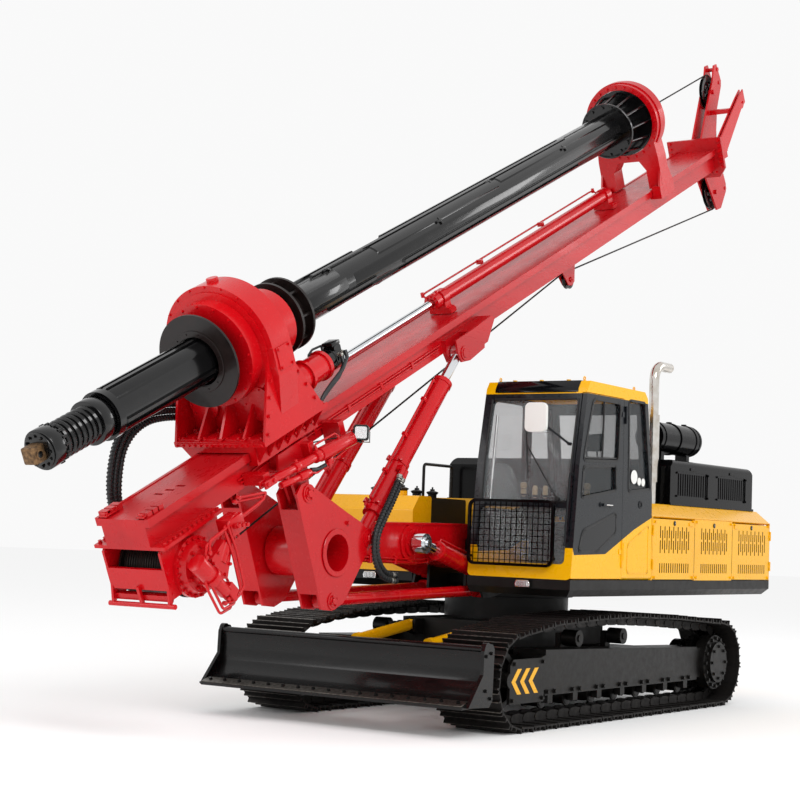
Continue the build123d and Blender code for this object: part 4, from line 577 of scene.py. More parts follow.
for hoses in (feedHoses, tiltHoses):
    for k, (name, length) in enumerate(zip(hoses["names"], hoses["lengths"])):
        points = [mm(x + k * dx, y, z + k * dz) for x, y, z, dx, dz in hoses["route"]]
        line = drawLine(name + "_line", points, hoses["radius"], fine=4, along=8)
        line.data.materials.append(hoseRubber)
        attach(line, hoses["body"])
        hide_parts(name)
        wrap = newShape()
        spots = alongRoute(points)
        trim = 5 if len(points) > 12 else 3
        addWrap(wrap, spots[trim:-trim], hoses["radius"] + 2, 30, 4.6)
        run = (points[1] - points[0]).normalized()
        addRod(wrap, points[0], points[0] + run * 0.055, hoses["radius"] + 4, sides=20, edge=2, slot=1)
        addRod(wrap, points[0] - run * 0.001, points[0] + run * 0.02, hoses["radius"] + 8, sides=6, edge=1, slot=1)
        back = (points[-2] - points[-1]).normalized()
        addRod(wrap, points[-1], points[-1] + back * 0.05, hoses["radius"] + 4, sides=20, edge=2, slot=1)
        if hoses["end"] == "fitting":
            addRod(
                wrap, points[-1] - back * 0.034, points[-1] + back * 0.002, hoses["radius"] + 7, sides=24, edge=3,
                slot=2,
            )
        dressing = finishPiece(
            wrap, name + "_wrap", hoses["body"], [blackRubber, zincSteel, cabPlastic]
        )
print("hoses made")


# CAD nodes keep their shape and take a finish

finishes = (
    (frameBlack, ("undercarriage", "running_gear", "upper_frame", "battery_box", "work_lamps", "console")),
    (linkSteel, ("track_left", "track_right")),
    (bladeBlack, ("dozer_blade",)),
    (yellowEnamel, ("counterweight", "fuel_tank", "blade_barrels")),
    (slotShadedPanelEnamel, ("body_panels", "door_left_front", "door_left_rear", "door_right_front", "door_right_rear")),
    (hoodBlack, ("hood", "air_cleaner", "engine_block", "front_guard")),
    (exhaustSteel, ("exhaust",)),
    (cabEnamel, ("cab_frame", "cab_door")),
    (cabPane, ("cab_glass",)),
    (doorPane, ("door_glass",)),
    (seatCloth, ("seat",)),
    (fittingPlastic, ("cab_fittings",)),
    (redEnamel, (
        "boom", "lower_links", "luff_barrels", "mast_bracket", "mast_barrels", "mast_head", "winch_frame",
        "crowd_barrel", "power_head", "kelly_guide", "aux_sheave",
    )),
    (railEnamel, ("mast",)),
    (chromeSteel, ("luff_rods", "mast_rods", "crowd_rod", "blade_rods")),
    (blackEnamel, ("kelly_outer", "kelly_middle", "kelly_inner", "idler_sheave", "head_sheave", "lower_sheave")),
    (motorEnamel, ("head_motors",)),
    (driveBrown, ("drive_sleeve",)),
    (ropeSteel, ("mast_rope", "winch_drum")),
)
for material, names in finishes:
    for name in names:
        for held in nodes[name].material_slots:
            held.material = material
print("CAD nodes finished")

# Tracks

track = {
    "centre": 988, "width": 600, "count": 53, "idler": (1880, 400), "sprocket": (-1935, 410),
    "top": ((1324, 872), (632, 904), (-60, 914), (-935, 882)),
    "grouser": 34, "plate": 11,
}


def trackLine(sizes):  # places on the ground side of the shoes, once round
    idler, sprocket = sizes["idler"], sizes["sprocket"]
    line = [Vector((idler[0], 0))]
    for turn in range(-80, 76, 10):
        angle = math.radians(turn)
        line.append(Vector(idler) + Vector((math.cos(angle), math.sin(angle))) * idler[1])
    line += [Vector(point) for point in sizes["top"]]
    for turn in range(90, 271, 10):
        angle = math.radians(turn)
        line.append(Vector(sprocket) + Vector((math.cos(angle), math.sin(angle))) * sprocket[1])
    return line


def evenly(line, count):
    closed = line + [line[0]]
    spans = [(b - a).length for a, b in zip(closed, closed[1:])]
    pitch = sum(spans) / count
    places = []
    for k in range(count):
        left = (k + 0.5) * pitch
        for a, b, span in zip(closed, closed[1:], spans):
            if left <= span:
                places.append(a.lerp(b, left / span))
                break
            left -= span
    return places, pitch


def makeShoe(sizes, pitch):  # one shoe at the origin: x along the chain, z to the ground's side negative
    shoe = newShape()
    half = sizes["width"] / 2
    depth, plate = sizes["grouser"], sizes["plate"]
    flat = depth + 2
    outline = [
        (-0.46 * pitch, flat), (-0.44 * pitch, 2), (-0.40 * pitch, 2), (-0.35 * pitch, depth),
        (-0.05 * pitch, depth), (-0.02 * pitch, 9), (0.02 * pitch, 9), (0.05 * pitch, depth),
        (0.30 * pitch, depth), (0.345 * pitch, 9), (0.385 * pitch, 9), (0.42 * pitch, depth),
        (0.50 * pitch, depth + 9), (0.50 * pitch, depth + 9 + plate), (0.40 * pitch, flat + plate),
        (-0.46 * pitch, flat + plate),
    ]
    addPlate(shoe, outline, basis(mm(0, half, 0), (1, 0, 0), (0, 0, 1)), sizes["width"], edge=0)
    inner = flat + plate
    for y in (-72, 72):
        link = [
            (-0.56 * pitch, inner + 22), (-0.44 * pitch, inner), (0.40 * pitch, inner), (0.50 * pitch, inner + 18),
            (0.50 * pitch, inner + 50), (0.42 * pitch, inner + 66), (0.16 * pitch, inner + 74),
            (-0.22 * pitch, inner + 74), (-0.46 * pitch, inner + 64), (-0.56 * pitch, inner + 48),
        ]
        addPlate(shoe, link, basis(mm(0, y + 14, 0), (1, 0, 0), (0, 0, 1)), 28, edge=0)
    pin = inner + 36
    addRod(shoe, mm(0.46 * pitch, -92, pin), mm(0.46 * pitch, 92, pin), 20, sides=8)
    for x in (-0.22 * pitch, 0.17 * pitch):
        for y in (-72, 72):
            addRod(shoe, mm(x, y, depth - 12), mm(x, y, flat), 13, sides=6)
    for face in shoe.faces:  # the grousers' crests are worn bright
        centre = face.calc_center_median()
        if face.normal.z < -0.9 and centre.z < 0.012:
            face.material_index = 1
    return shoe


places, pitch = evenly(trackLine(track), track["count"])
shoe = makeShoe(track, pitch)
shoeMesh = bpy.data.meshes.new("shoe")
shoe.to_mesh(shoeMesh)
shoe.free()
for name, y, replaced in (("left", track["centre"], "track_left"), ("right", -track["centre"], "track_right")):
    loop = newShape()
    for k, place in enumerate(places):
        run = (places[(k + 1) % len(places)] - places[k - 1]).normalized()
        along, inward = Vector((run.x, 0, run.y)), Vector((-run.y, 0, run.x))
        turn = Matrix((along, inward.cross(along), inward)).transposed().to_4x4()
        start = len(loop.verts)
        loop.from_mesh(shoeMesh)
        loop.verts.ensure_lookup_table()
        bmesh.ops.transform(loop, matrix=Matrix.Translation(mm(place.x, y, place.y)) @ turn, verts=loop.verts[start:])
    bmesh.ops.recalc_face_normals(loop, faces=loop.faces)
    finishPiece(loop, f"shoes_{name}", "chassis", [linkSteel, polishedShoe], (replaced,))
bpy.data.meshes.remove(shoeMesh)
print("tracks made")

# Side frames: chevrons, bolts, covers

sideFrame = {
    "chevrons": (1450, 1585, 1720), "chevronZ": (290, 490), "arrow": 95, "stroke": 62,
    "rollers": (-1380, -950, -520, -90, 340, 770, 1200), "driveZ": 410, "driveX": -1935,
}
marks = newShape()
for x in sideFrame["chevrons"]:
    low, high = sideFrame["chevronZ"]
    middle = (low + high) / 2
    arrow, stroke = sideFrame["arrow"], sideFrame["stroke"]
    outline = [
        (x, low), (x + stroke, low), (x + stroke + arrow, middle), (x + stroke, high), (x, high), (x + arrow, middle),
    ]
    for y in (1177, -1175):
        addPlate(marks, outline, sidePlane(y), 2, edge=0)
finishPiece(marks, "guard_chevrons", "chassis", [yellowEnamel])

trackBolts = newShape()
for sign in (1, -1):
    axis = (0, sign, 0)
    for x in sideFrame["rollers"]:
        for shift in (-62, 62):
            addBolt(trackBolts, mm(x + shift, sign * 1150, 285), axis, 30)
    centre = mm(sideFrame["driveX"], sign * 1195, sideFrame["driveZ"])
    addBoltRing(trackBolts, centre, axis, 226, 16, 30)
    addBoltRing(trackBolts, mm(sideFrame["driveX"], sign * 1235, sideFrame["driveZ"]), axis, 150, 8, 24)
    for x, z in ((1385, 245), (1865, 245), (1385, 535), (1840, 530)):
        addBolt(trackBolts, mm(x, sign * 1175, z), axis, 26)
    addTurned(trackBolts, ringProfile(62, 0.1, 26), mm(1880, sign * 1150, 400), axis, 24)
finishPiece(trackBolts, "side_frame_bolts", "chassis", [frameBlack])
print("side frames dressed")

# Kelly, power head and guide

headBolts = newShape()
down = -mastUp
headRings = (  # station, radius, count, across, facing
    (1270, 368, 16, 16, down), (1400, 474, 20, 16, down), (1620, 441, 16, 16, mastUp),
)
for station, radius, count, across, axis in headRings:
    addBoltRing(headBolts, onMast(station, 0, kellyHeight), axis, radius, count, across)
for y in (-258, 258):
    addBoltRing(headBolts, onMast(1372, y, 300), down, 112, 10, 14)
for y in (-400, 400):
    addBoltRow(headBolts, onMast(1180, y, 95), onMast(1910, y, 95), 9, mastOut, 26)
for y in (-405, 405):
    for k in range(7):
        addBolt(headBolts, onMast(1200 + 110 * k, y * 0.745, -30), (0, math.copysign(1, y), 0), 24)
finishPiece(headBolts, "power_head_bolts", "head_carriage", [redEnamel])

discBolts = newShape()
addTurned(discBolts, ringProfile(232, 190, 10), onMast(1146, 0, kellyHeight), down, 48)
addBoltRing(discBolts, onMast(1140, 0, kellyHeight), down, 211, 12, 12, start=0.2)
finishPiece(discBolts, "drive_disc_ring", "drive", [driveBrown])

guideBolts = newShape()
for station, axis in ((8300, down), (8490, mastUp)):
    addBoltRing(guideBolts, onMast(station, 0, kellyHeight), axis, 372, 24, 26)
addBoltRow(guideBolts, onMast(8320, 0, 0) + side * 0.325, onMast(8470, 0, 0) + side * 0.325, 3, mastOut, 26)
finishPiece(guideBolts, "guide_bolts", "guide_frame", [redEnamel])

kellyFoot = {  # start and end station, radius of each turned length of the inner bar
    "lengths": (
        (-540, -522, 126), (-524, -430, 140), (-432, -404, 124), (-408, -50, 92), (-62, 28, 158), (28, 8600, 112),
        (8560, 8640, 112), (8640, 8860, 60), (8720, 8760, 68), (8860, 9100, 34),
    ),
    "stub": (-640, -530), "half": 58, "coils": (-374, 50, 7), "coilRadius": 108, "wire": 23,
}
foot = newShape()
for s0, s1, radius in kellyFoot["lengths"]:
    soft = 4 if radius > 120 else 2
    addRod(foot, onMast(s0, 0, kellyHeight), onMast(s1, 0, kellyHeight), radius, sides=48, edge=soft)
half = kellyFoot["half"]
addBox(
    foot, kellyFoot["stub"], (kellyHeight - half, kellyHeight + half), (-half, half), edge=12, slot=1,
    place=mastSide(0),
)
addRod(foot, onMast(-590, -half - 1, kellyHeight), onMast(-590, half + 1, kellyHeight), 22, slot=0)
addTurned(foot, ringProfile(34, 23, 6, 2), onMast(-590, half, kellyHeight), side, 32, slot=1)
first, pitchUp, count = kellyFoot["coils"]
for k in range(count):
    addTurned(
        foot, wireProfile(kellyFoot["coilRadius"], kellyFoot["wire"]), onMast(first + pitchUp * k, 0, kellyHeight),
        down, 40,
    )
addBoltRing(foot, onMast(-540, 0, kellyHeight), down, 104, 12, 18)
for k in range(16):  # castle lugs round the collar
    turn = math.tau * k / 16
    spot = onMast(-410, 134 * math.cos(turn), kellyHeight + 134 * math.sin(turn))
    addRod(foot, spot - mastUp * 0.018, spot + mastUp * 0.012, 11, sides=8)
addPlate(foot, [(9080, 681), (9160, 681), (9190, 715), (9160, 749), (9080, 749)], mastSide(16), 32)
finishPiece(foot, "kelly_core_bar", "kelly_core", [blackEnamel, bareIron], ("kelly_inner",))

kellyPanels = {  # stations, first and last angle round the tube, raised height
    "runs": (
        (3420, 5480, 34, 76, 9), (5540, 8040, 44, 76, 9), (3000, 8120, -14, 24, 5), (120, 2860, 34, 76, 7),
        (2300, 2900, -14, 24, 6), (3420, 8040, 154, 196, 9), (120, 2860, 154, 196, 7), (3420, 8040, 274, 316, 9),
        (120, 2860, 274, 316, 7),
    ),
    "lugs": ((5440, 76), (8000, 76), (2820, 76), (4400, 34), (6800, 44)),
}


def addShell(shape, s0, s1, t0, t1, inner, outer):  # bent plate on the kelly's tube
    steps = max(4, round((t1 - t0) / 5))
    rows = []
    for s, shrink in ((s0, 1), (s0 + 12, 0), (s1 - 12, 0), (s1, 1)):
        row = []
        for k in range(steps + 1):
            turn = math.radians(t0 + (t1 - t0) * k / steps)
            radius = inner if shrink or k in (0, steps) else outer
            row.append(shape.verts.new(onMast(s, radius * math.cos(turn), kellyHeight + radius * math.sin(turn))))
        rows.append(row)
    for first, second in zip(rows, rows[1:]):
        for k in range(steps):
            shape.faces.new((first[k], first[k + 1], second[k + 1], second[k]))


panels = newShape()
for s0, s1, t0, t1, height in kellyPanels["runs"]:
    addShell(panels, s0, s1, t0, t1, 159, 160 + height)
bmesh.ops.recalc_face_normals(panels, faces=panels.faces)
for s, angle in kellyPanels["lugs"]:
    turn = math.radians(angle)
    out = side * math.cos(turn) + mastOut * math.sin(turn)
    place = basis(onMast(s, 0, kellyHeight) + out * 0.164, mastUp, out.cross(mastUp))
    addBox(panels, (-60, 30), (-10, 10), (-6, 10), edge=2, place=place)
    addBox(panels, (-10, 10), (-34, 34), (-6, 8), edge=2, place=place)
finishPiece(panels, "kelly_panels", "kelly_tube", [blackEnamel])

outerTrim = newShape()
addBoltRing(outerTrim, onMast(7950, 0, kellyHeight), down, 240, 12, 26)
addTurned(outerTrim, ringProfile(282, 252, 26, 4), onMast(7976, 0, kellyHeight), down, 48)
finishPiece(outerTrim, "kelly_cage_bolts", "kelly_tube", [blackEnamel])
print("kelly and power head dressed")

# Winch

winch = {"station": 284, "height": -476, "wire": 10, "core": 187, "half": 200, "turns": 19}


def addCoil(shape, centre, radius, wire, half, turns, perTurn=28):
    steps = turns * perTurn
    spots = []
    for k in range(steps + 1):
        angle = math.tau * k / perTurn
        spot = centre + mastUp * math.cos(angle) * radius / 1000 + mastOut * math.sin(angle) * radius / 1000
        spots.append(spot + side * (-half + 2 * half * k / steps) / 1000)
    mesh = takeMesh(drawLine("coil", spots, wire, fine=1, along=12, smooth=False))
    shape.from_mesh(mesh)
    bpy.data.meshes.remove(mesh)


drumRope = newShape()
addCoil(
    drumRope, onMast(winch["station"], 0, winch["height"]), winch["core"], winch["wire"], winch["half"], winch["turns"],
)
finishPiece(drumRope, "drum_rope", "drum", [ropeSteel])
print("winch dressed")

# Rope over the head

headRope = {
    "swivel": (9190, 715), "top": (10510, 530), "low": (10150, -530), "reach": 194, "wire": 9, "guide": (6600, -420),
}


def ropePlaces(sizes):  # from the swivel over the head wheel and round the lower one
    (topS, topN), (lowS, lowN) = sizes["top"], sizes["low"]
    slant = math.atan2(topS - lowS, topN - lowN)
    spots = [onMast(sizes["swivel"][0], 0, sizes["swivel"][1])]
    for k in range(17):
        turn = math.radians(90) + (-slant - math.radians(90)) * k / 16
        spots.append(onMast(topS + sizes["reach"] * math.cos(turn), 0, topN + sizes["reach"] * math.sin(turn)))
    for k in range(13):
        turn = -slant + (math.radians(-90) + slant) * k / 12
        spots.append(onMast(lowS + sizes["reach"] * math.cos(turn), 0, lowN + sizes["reach"] * math.sin(turn)))
    return spots


def addStrands(shape, spots, radius, strands=6, lay=0.12, step=0.03):  # strands wound round a core, in metres
    for k in range(strands):
        turned = []
        normal = side.copy()
        travelled = math.tau * k / strands
        for a, b in zip(spots, spots[1:]):
            ahead = (b - a).normalized()
            across = ahead.cross(normal)
            steps = max(1, round((b - a).length / step))
            for j in range(steps):
                turn = travelled + math.tau * j / steps * (b - a).length / lay
                spot = a.lerp(b, j / steps)
                turned.append(spot + (normal * math.cos(turn) + across * math.sin(turn)) * radius * 0.55 / 1000)
            travelled += math.tau * (b - a).length / lay
        addTube(shape, turned, radius * 0.46, 5)


def addTube(shape, spots, radius, sides):  # a plain tube through many near places
    normal = (spots[1] - spots[0]).orthogonal().normalized()
    rings = []
    for k, spot in enumerate(spots):
        ahead = (spots[min(k + 1, len(spots) - 1)] - spots[max(k - 1, 0)]).normalized()
        normal = (normal - ahead * normal.dot(ahead)).normalized()
        across = ahead.cross(normal)
        rings.append([
            shape.verts.new(spot + (normal * math.cos(q) + across * math.sin(q)) * radius / 1000)
            for q in (math.tau * j / sides for j in range(sides))
        ])
    stitch(shape, rings)
    for ring in (rings[0][::-1], rings[-1]):
        shape.faces.new(ring)


overHead = newShape()
addStrands(overHead, ropePlaces(headRope)[:2], headRope["wire"])
bmesh.ops.recalc_face_normals(overHead, faces=overHead.faces)
ropePiece = bpy.data.meshes.new("kelly_rope")
overHead.to_mesh(ropePiece)
overHead.free()
ropeObject = bpy.data.objects.new("kelly_rope", ropePiece)
bpy.context.scene.collection.objects.link(ropeObject)
ropePiece.materials.append(ropeSteel)
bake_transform(ropeObject)

mastRopes = newShape()
(guideS, guideN), (lowS, lowN) = headRope["guide"], headRope["low"]
ropeRuns = (
    (onMast(560, 0, -655), onMast(guideS - 40, 0, guideN + 89)),
    (onMast(guideS + 60, 0, guideN + 70), onMast(lowS + 20, 0, lowN - 196)),
)
for start, end in ropeRuns:
    addStrands(mastRopes, [start, end], headRope["wire"])
addStrands(mastRopes, ropePlaces(headRope)[1:], headRope["wire"])
bmesh.ops.recalc_face_normals(mastRopes, faces=mastRopes.faces)
finishPiece(mastRopes, "mast_ropes", "mast_assembly", [ropeSteel], ("mast_rope",))
print("ropes made")

# Mast: bolts, plates, pipes and the near-side cylinder

mastTrim = newShape()
for sign in (1, -1):
    # clamp plates at the foot's corners: stations, half width, height and thickness
    for first, last, half, height, thick in ((8, 150, 35, 0, 14), (12, 70, 20, 14, 16)):
        across = -170 * sign
        addPlate(mastTrim, oblong(first, last, across - half, across + half), mastFace(height), thick)
    for s in (30, 85, 130):
        for y in (150, 190):
            addBolt(mastTrim, onMast(s, sign * y, 14), mastOut, 20)
    boltRows = (  # winch flange, cradle and head flange: stations, y, heights, count, direction, width
        (40, 630, 296, -205, -205, 12, mastOut, 24), (20, 20, 256, -260, -560, 5, -mastUp, 22),
        (1350, 1780, 306, -240, -240, 6, side * sign, 22),
        (9965, 9965, 285, 100, -200, 6, mastUp, 28), (9930, 9930, 285, 100, -200, 6, -mastUp, 28),
    )
    for s0, s1, y, n0, n1, count, axis, width in boltRows:
        addBoltRow(mastTrim, onMast(s0, sign * y, n0), onMast(s1, sign * y, n1), count, axis, width)
    # grease lines along the box, held by saddles
    for corners in (
        ((1010, -150), (1180, -150), (1260, -142), (3900, -142)),
        ((1030, -178), (1200, -178), (1300, -166), (3860, -166)),
    ):
        addPipe(mastTrim, [onMast(s, sign * 206, n) for s, n in corners], 7)
    for s in range(1500, 3900, 480):
        addPlate(mastTrim, oblong(s, s + 30, -180, -128), mastSide(198 if sign > 0 else -218), 20)
for y in range(-210, 211, 60):
    addBolt(mastTrim, onMast(9965, y, -255), mastUp, 26)
    addBolt(mastTrim, onMast(9930, y, -255), -mastUp, 26)
addBoltRing(mastTrim, onMast(6600, 44, -420), side, 16, 3, 12)
finishPiece(mastTrim, "mast_trim", "mast_assembly", [redEnamel])

nearJack = {  # round lengths from the clevis up: start and end as station and height, radius
    "y": 418, "clevis": (1080, -186),
    "lengths": (
        ((1150, -192), (1420, -216), 30), ((1400, -214), (1460, -219), 38), ((1450, -218), (1700, -240), 34),
        ((1660, -236), (1735, -243), 46), ((1725, -242), (2190, -284), 54), ((2190, -284), (2222, -287), 60),
    ),
    "lower": (((1210, -268), (1440, -300), 26), ((1430, -299), (1560, -316), 34)),
}
jack = newShape()
y = nearJack["y"]
for (s0, n0), (s1, n1), radius in nearJack["lengths"] + nearJack["lower"]:
    addRod(jack, onMast(s0, y, n0), onMast(s1, y, n1), radius, sides=32, edge=3)
clevisS, clevisN = nearJack["clevis"]
for gap in (-34, 16):
    fork = (
        (clevisS - 70, clevisN - 28), (clevisS + 60, clevisN - 30), (clevisS + 110, clevisN - 4),
        (clevisS + 60, clevisN + 24), (clevisS - 70, clevisN + 26),
    )
    addPlate(jack, fork, mastSide(y + gap), 18)
for s in (clevisS - 40, clevisS + 36):
    addRod(jack, onMast(s, y - 46, clevisN), onMast(s, y + 46, clevisN), 15, sides=16, edge=2)
addBox(jack, (2222, 2290), (-322, -262), (y - 20, y + 20), edge=6, place=mastSide(0))
for s, n, up in ((1440, -180, 40), (1700, -194, 46), (1990, -212, 40), (1300, -238, 30)):
    addRod(jack, onMast(s, y, n - 20), onMast(s, y, n + up - 20), 13, sides=6, edge=1)
addPipe(jack, [onMast(s, y, n) for s, n in ((1700, -176), (1700, -150), (1960, -164), (1990, -192))], 8, bend=40)
lowerPipe = ((1560, -316), (1640, -350), (1760, -346), (1812, -328), (1900, -340), (2040, -330))
addPipe(jack, [onMast(s, y + 6, n) for s, n in lowerPipe], 9, bend=50)
addBox(jack, (1786, 1846), (-356, -306), (y - 18, y + 24), edge=5, place=mastSide(0))
for s, n in ((1800, -306), (1830, -306), (1812, -380)):
    addRod(jack, onMast(s, y, n), onMast(s, y, n + 30), 12, sides=6, edge=1)
addPipe(jack, [onMast(s, y + 4, n) for s, n in ((1580, -300), (1660, -330), (1760, -338))], 16, bend=40, slot=1)
# brackets that carry it off the mast's side
for s, n, radius in ((clevisS + 20, clevisN, 20), (1690, -239, 34), (2120, -278, 50)):
    addPlate(jack, oblong(s - 34, s + 34, n - 26, -126), mastSide(205), y - 205 - radius + 6)
finishPiece(jack, "near_jack", "mast_assembly", [redEnamel, hoseRubber])

mastLamp = {"station": 2215, "y": 470, "height": -262, "half": 60}
lamp = newShape()
aim = basis(onMast(mastLamp["station"], mastLamp["y"], mastLamp["height"]), (-0.53, 0.848, 0), (0, 0, 1))
half = mastLamp["half"]
cut = half - 14
rim = [(-half, -cut), (-cut, -half), (cut, -half), (half, -cut), (half, cut), (cut, half), (-cut, half), (-half, cut)]
addPlate(lamp, rim, aim, 52, edge=4)
addPlate(lamp, [(x * 0.78, z * 0.78) for x, z in rim], aim @ Matrix.Translation(mm(0, 0, 50)), 6, edge=2, slot=1)
addPlate(lamp, [(x * 0.72, z * 0.72) for x, z in rim], aim @ Matrix.Translation(mm(0, 0, 57)), 3, edge=1, slot=2)
addBox(lamp, (-half - 12, half + 12), (-half - 14, -half - 8), (8, 40), edge=1, place=aim)
for x in (-half - 10, half + 4):
    addBox(lamp, (x, x + 6), (-half - 12, 10), (8, 40), edge=1, place=aim)
addRod(lamp, aim @ mm(0, -half - 12, 24), onMast(mastLamp["station"], 412, mastLamp["height"] - 20), 12)
lampCable = [
    aim @ mm(0, 0, 2), aim @ mm(20, -20, -40), onMast(1950, 400, -200), onMast(1700, 300, -150),
    onMast(1500, 208, -140),
]
addPipe(lamp, lampCable, 5, bend=50)
finishPiece(lamp, "mast_lamp", "mast_assembly", [blackEnamel, lampSilver, clearLens])

# Winch's near side: bolts, valve block and its pipes

winchTrim = newShape()
station, height = 284, -476
addBoltRing(winchTrim, onMast(station, 296, height), side, 201, 20, 22)
addBoltRing(winchTrim, onMast(station, 355, height), side, 152, 10, 24)
addBoltRing(winchTrim, onMast(station, -280, height), -side, 134, 10, 24)
addBoltRing(winchTrim, onMast(station + 40, 490, height + 10), side, 84, 6, 20)
valvePlace = basis(onMast(560, 395, -280), mastUp, side)
addBox(winchTrim, (-76, 76), (-10, 116), (-62, 62), edge=5, place=valvePlace)
for k, x in enumerate((-44, 0, 44)):
    start = valvePlace @ mm(x, 115, -10 + 14 * k)
    addRod(winchTrim, start, start + side * 0.03, 20, sides=6, edge=1)
    addRod(winchTrim, start + side * 0.03, start + side * 0.056, 15, edge=2)
    foot = valvePlace @ mm(x, 50, 62)
    addRod(winchTrim, foot, foot - mastOut * 0.05, 14, sides=6)
# pipes in pairs, straight with wide bends: station, y and height of each corner
bends = (
    ((648, 455, -150), (928, 470, -229), (880, 474, -262), (217, 500, -275), (176, 500, -350)),
    ((560, 462, -235), (422, 500, -245), (439, 505, -447), (427, 505, -711), (356, 500, -760), (262, 480, -735)),
    ((150, 470, -420), (110, 505, -560), (170, 500, -770), (330, 470, -800), (420, 380, -700), (470, 290, -560)),
)
for corners in bends:
    for shift in (0, 34):
        addPipe(winchTrim, [onMast(s + shift, y + shift * 0.3, n + shift * 0.5) for s, y, n in corners], 10, bend=60)
    for s, y, n in (corners[0], corners[-1]):
        first, second = onMast(s, y, n), onMast(s + 34, y + 10, n + 17)
        addRod(winchTrim, first - side * 0.012, first + side * 0.016, 17, sides=6, edge=1)
        addRod(winchTrim, second - side * 0.012, second + side * 0.016, 17, sides=6, edge=1)
winchMotor = {  # lengths as start and end, each a station and height, with a radius
    "y": 478,
    "lengths": (((96, -350), (196, -505), 66), ((186, -490), (212, -530), 78), ((206, -520), (300, -668), 50)),
    "port": ((282, -650), (352, -610), (402, -700), (330, -752)), "portY": 424, "portWidth": 96,
    "flange": (212, -530), "axis": (0.545, -0.839), "circle": 64, "bolts": 8,
}
y = winchMotor["y"]
for (s0, n0), (s1, n1), radius in winchMotor["lengths"]:
    addRod(winchTrim, onMast(s0, y, n0), onMast(s1, y, n1), radius, sides=32, edge=4)
addPlate(winchTrim, winchMotor["port"], mastSide(winchMotor["portY"]), winchMotor["portWidth"], edge=6)
axisUp, axisOut = winchMotor["axis"]
flangeS, flangeN = winchMotor["flange"]
for k in range(winchMotor["bolts"]):
    turn = math.tau * k / winchMotor["bolts"]
    reach = winchMotor["circle"] * math.cos(turn)
    spot = onMast(
        flangeS + reach * axisOut, y + winchMotor["circle"] * math.sin(turn), flangeN - reach * axisUp
    )
    addRod(winchTrim, spot, spot + (mastUp * axisUp + mastOut * axisOut) * 0.016, 9, sides=6)
# strip along the lower lip of the cage
addPlate(winchTrim, oblong(-266, 266, -616, -590), mastSection(14), 10)
finishPiece(winchTrim, "winch_trim", "mast_assembly", [redEnamel])
print("mast and winch dressed")

# Crowd cylinder pipes, head gearbox covers and motor ends

crowdTrim = newShape()
spots = ((4240, -60, 165), (4240, -92, 200), (4300, -92, 206), (7520, -92, 206), (7600, -92, 200), (7600, -50, 165))
addPipe(crowdTrim, [onMast(s, y, n) for s, y, n in spots], 9)
for s, y, n in (spots[1], spots[-2]):
    addRod(crowdTrim, onMast(s, y, n - 20), onMast(s, y, n + 24), 16, sides=6, edge=1)
for s in (5200, 6400):
    addBox(crowdTrim, (s, s + 30), (176, 216), (-102, -40), edge=2, place=mastSide(0))
for s, n in ((4240, 208), (4290, 216), (4340, 200)):
    addRod(crowdTrim, onMast(s, 20, n - 24), onMast(s, 20, n + 6), 17, sides=6, edge=1)
for y in (-90, 90):
    for s in (4350, 4400, 7620, 7670):
        addBolt(crowdTrim, onMast(s, y, 34), mastOut, 22)
addBoltRing(crowdTrim, onMast(4214, 0, 135), down, 52, 8, 18)
finishPiece(crowdTrim, "crowd_pipes", "mast_assembly", [redEnamel])

headMotor = {  # stations along the mast, y and height of the axis
    "y": 258, "height": 300, "flange": 2197, "top": 2300, "block": ((2316, 2424), (396, 428)), "blockHalf": 50,
    "port": (2370, 330), "portShifts": (-30, 26),
    "hose": (
        (2370, 100, 330), (2350, 120, 280), (2240, 134, 220), (2080, 136, 176), (1960, 132, 130),
        (1900, 128, 92),
    ),
    "drain": ((2300, 376), (2300, 420), (2180, 430), (2120, 405)),
}
headTrim = newShape()
for sign in (1, -1):
    y = sign * headMotor["y"]
    out = side * sign
    half = headMotor["blockHalf"]
    addBoltRing(headTrim, onMast(headMotor["flange"], y, headMotor["height"]), mastUp, 98, 10, 20)
    addTurned(headTrim, ringProfile(84, 40, 26, 4), onMast(headMotor["top"], y, headMotor["height"]), mastUp, 32)
    addBox(headTrim, *headMotor["block"], (y - half, y + half), edge=5, place=mastSide(0))
    # ports on the outer face, hoses back down to the sliding base
    for shift in headMotor["portShifts"]:
        port = onMast(headMotor["port"][0] + shift, y + sign * half, headMotor["port"][1])
        addRod(headTrim, port, port + out * 0.028, 20, sides=6, edge=1, slot=1)
        addRod(headTrim, port + out * 0.028, port + out * 0.06, 16, edge=2, slot=1)
        points = [
            onMast(s + shift, y + sign * (reach + shift * 0.05), n + shift * 0.6) for s, reach, n in headMotor["hose"]
        ]
        addPipe(headTrim, points, 15, bend=80, slot=2)
    # drain line
    addPipe(headTrim, [onMast(s, y - sign * 40, n) for s, n in headMotor["drain"]], 9, bend=30, slot=2)
finishPiece(headTrim, "motor_ends", "head_carriage", [blackEnamel, zincSteel, hoseRubber])

headCovers = newShape()
for y in (-315, -105, 105, 315):
    addBox(headCovers, (1168, 1360), (95, 104), (y - 66, y + 66), edge=2, place=mastSide(0))
    for s in (1182, 1346):
        for shift in (-52, 52):
            addBolt(headCovers, onMast(s, y + shift, 104), mastOut, 18)
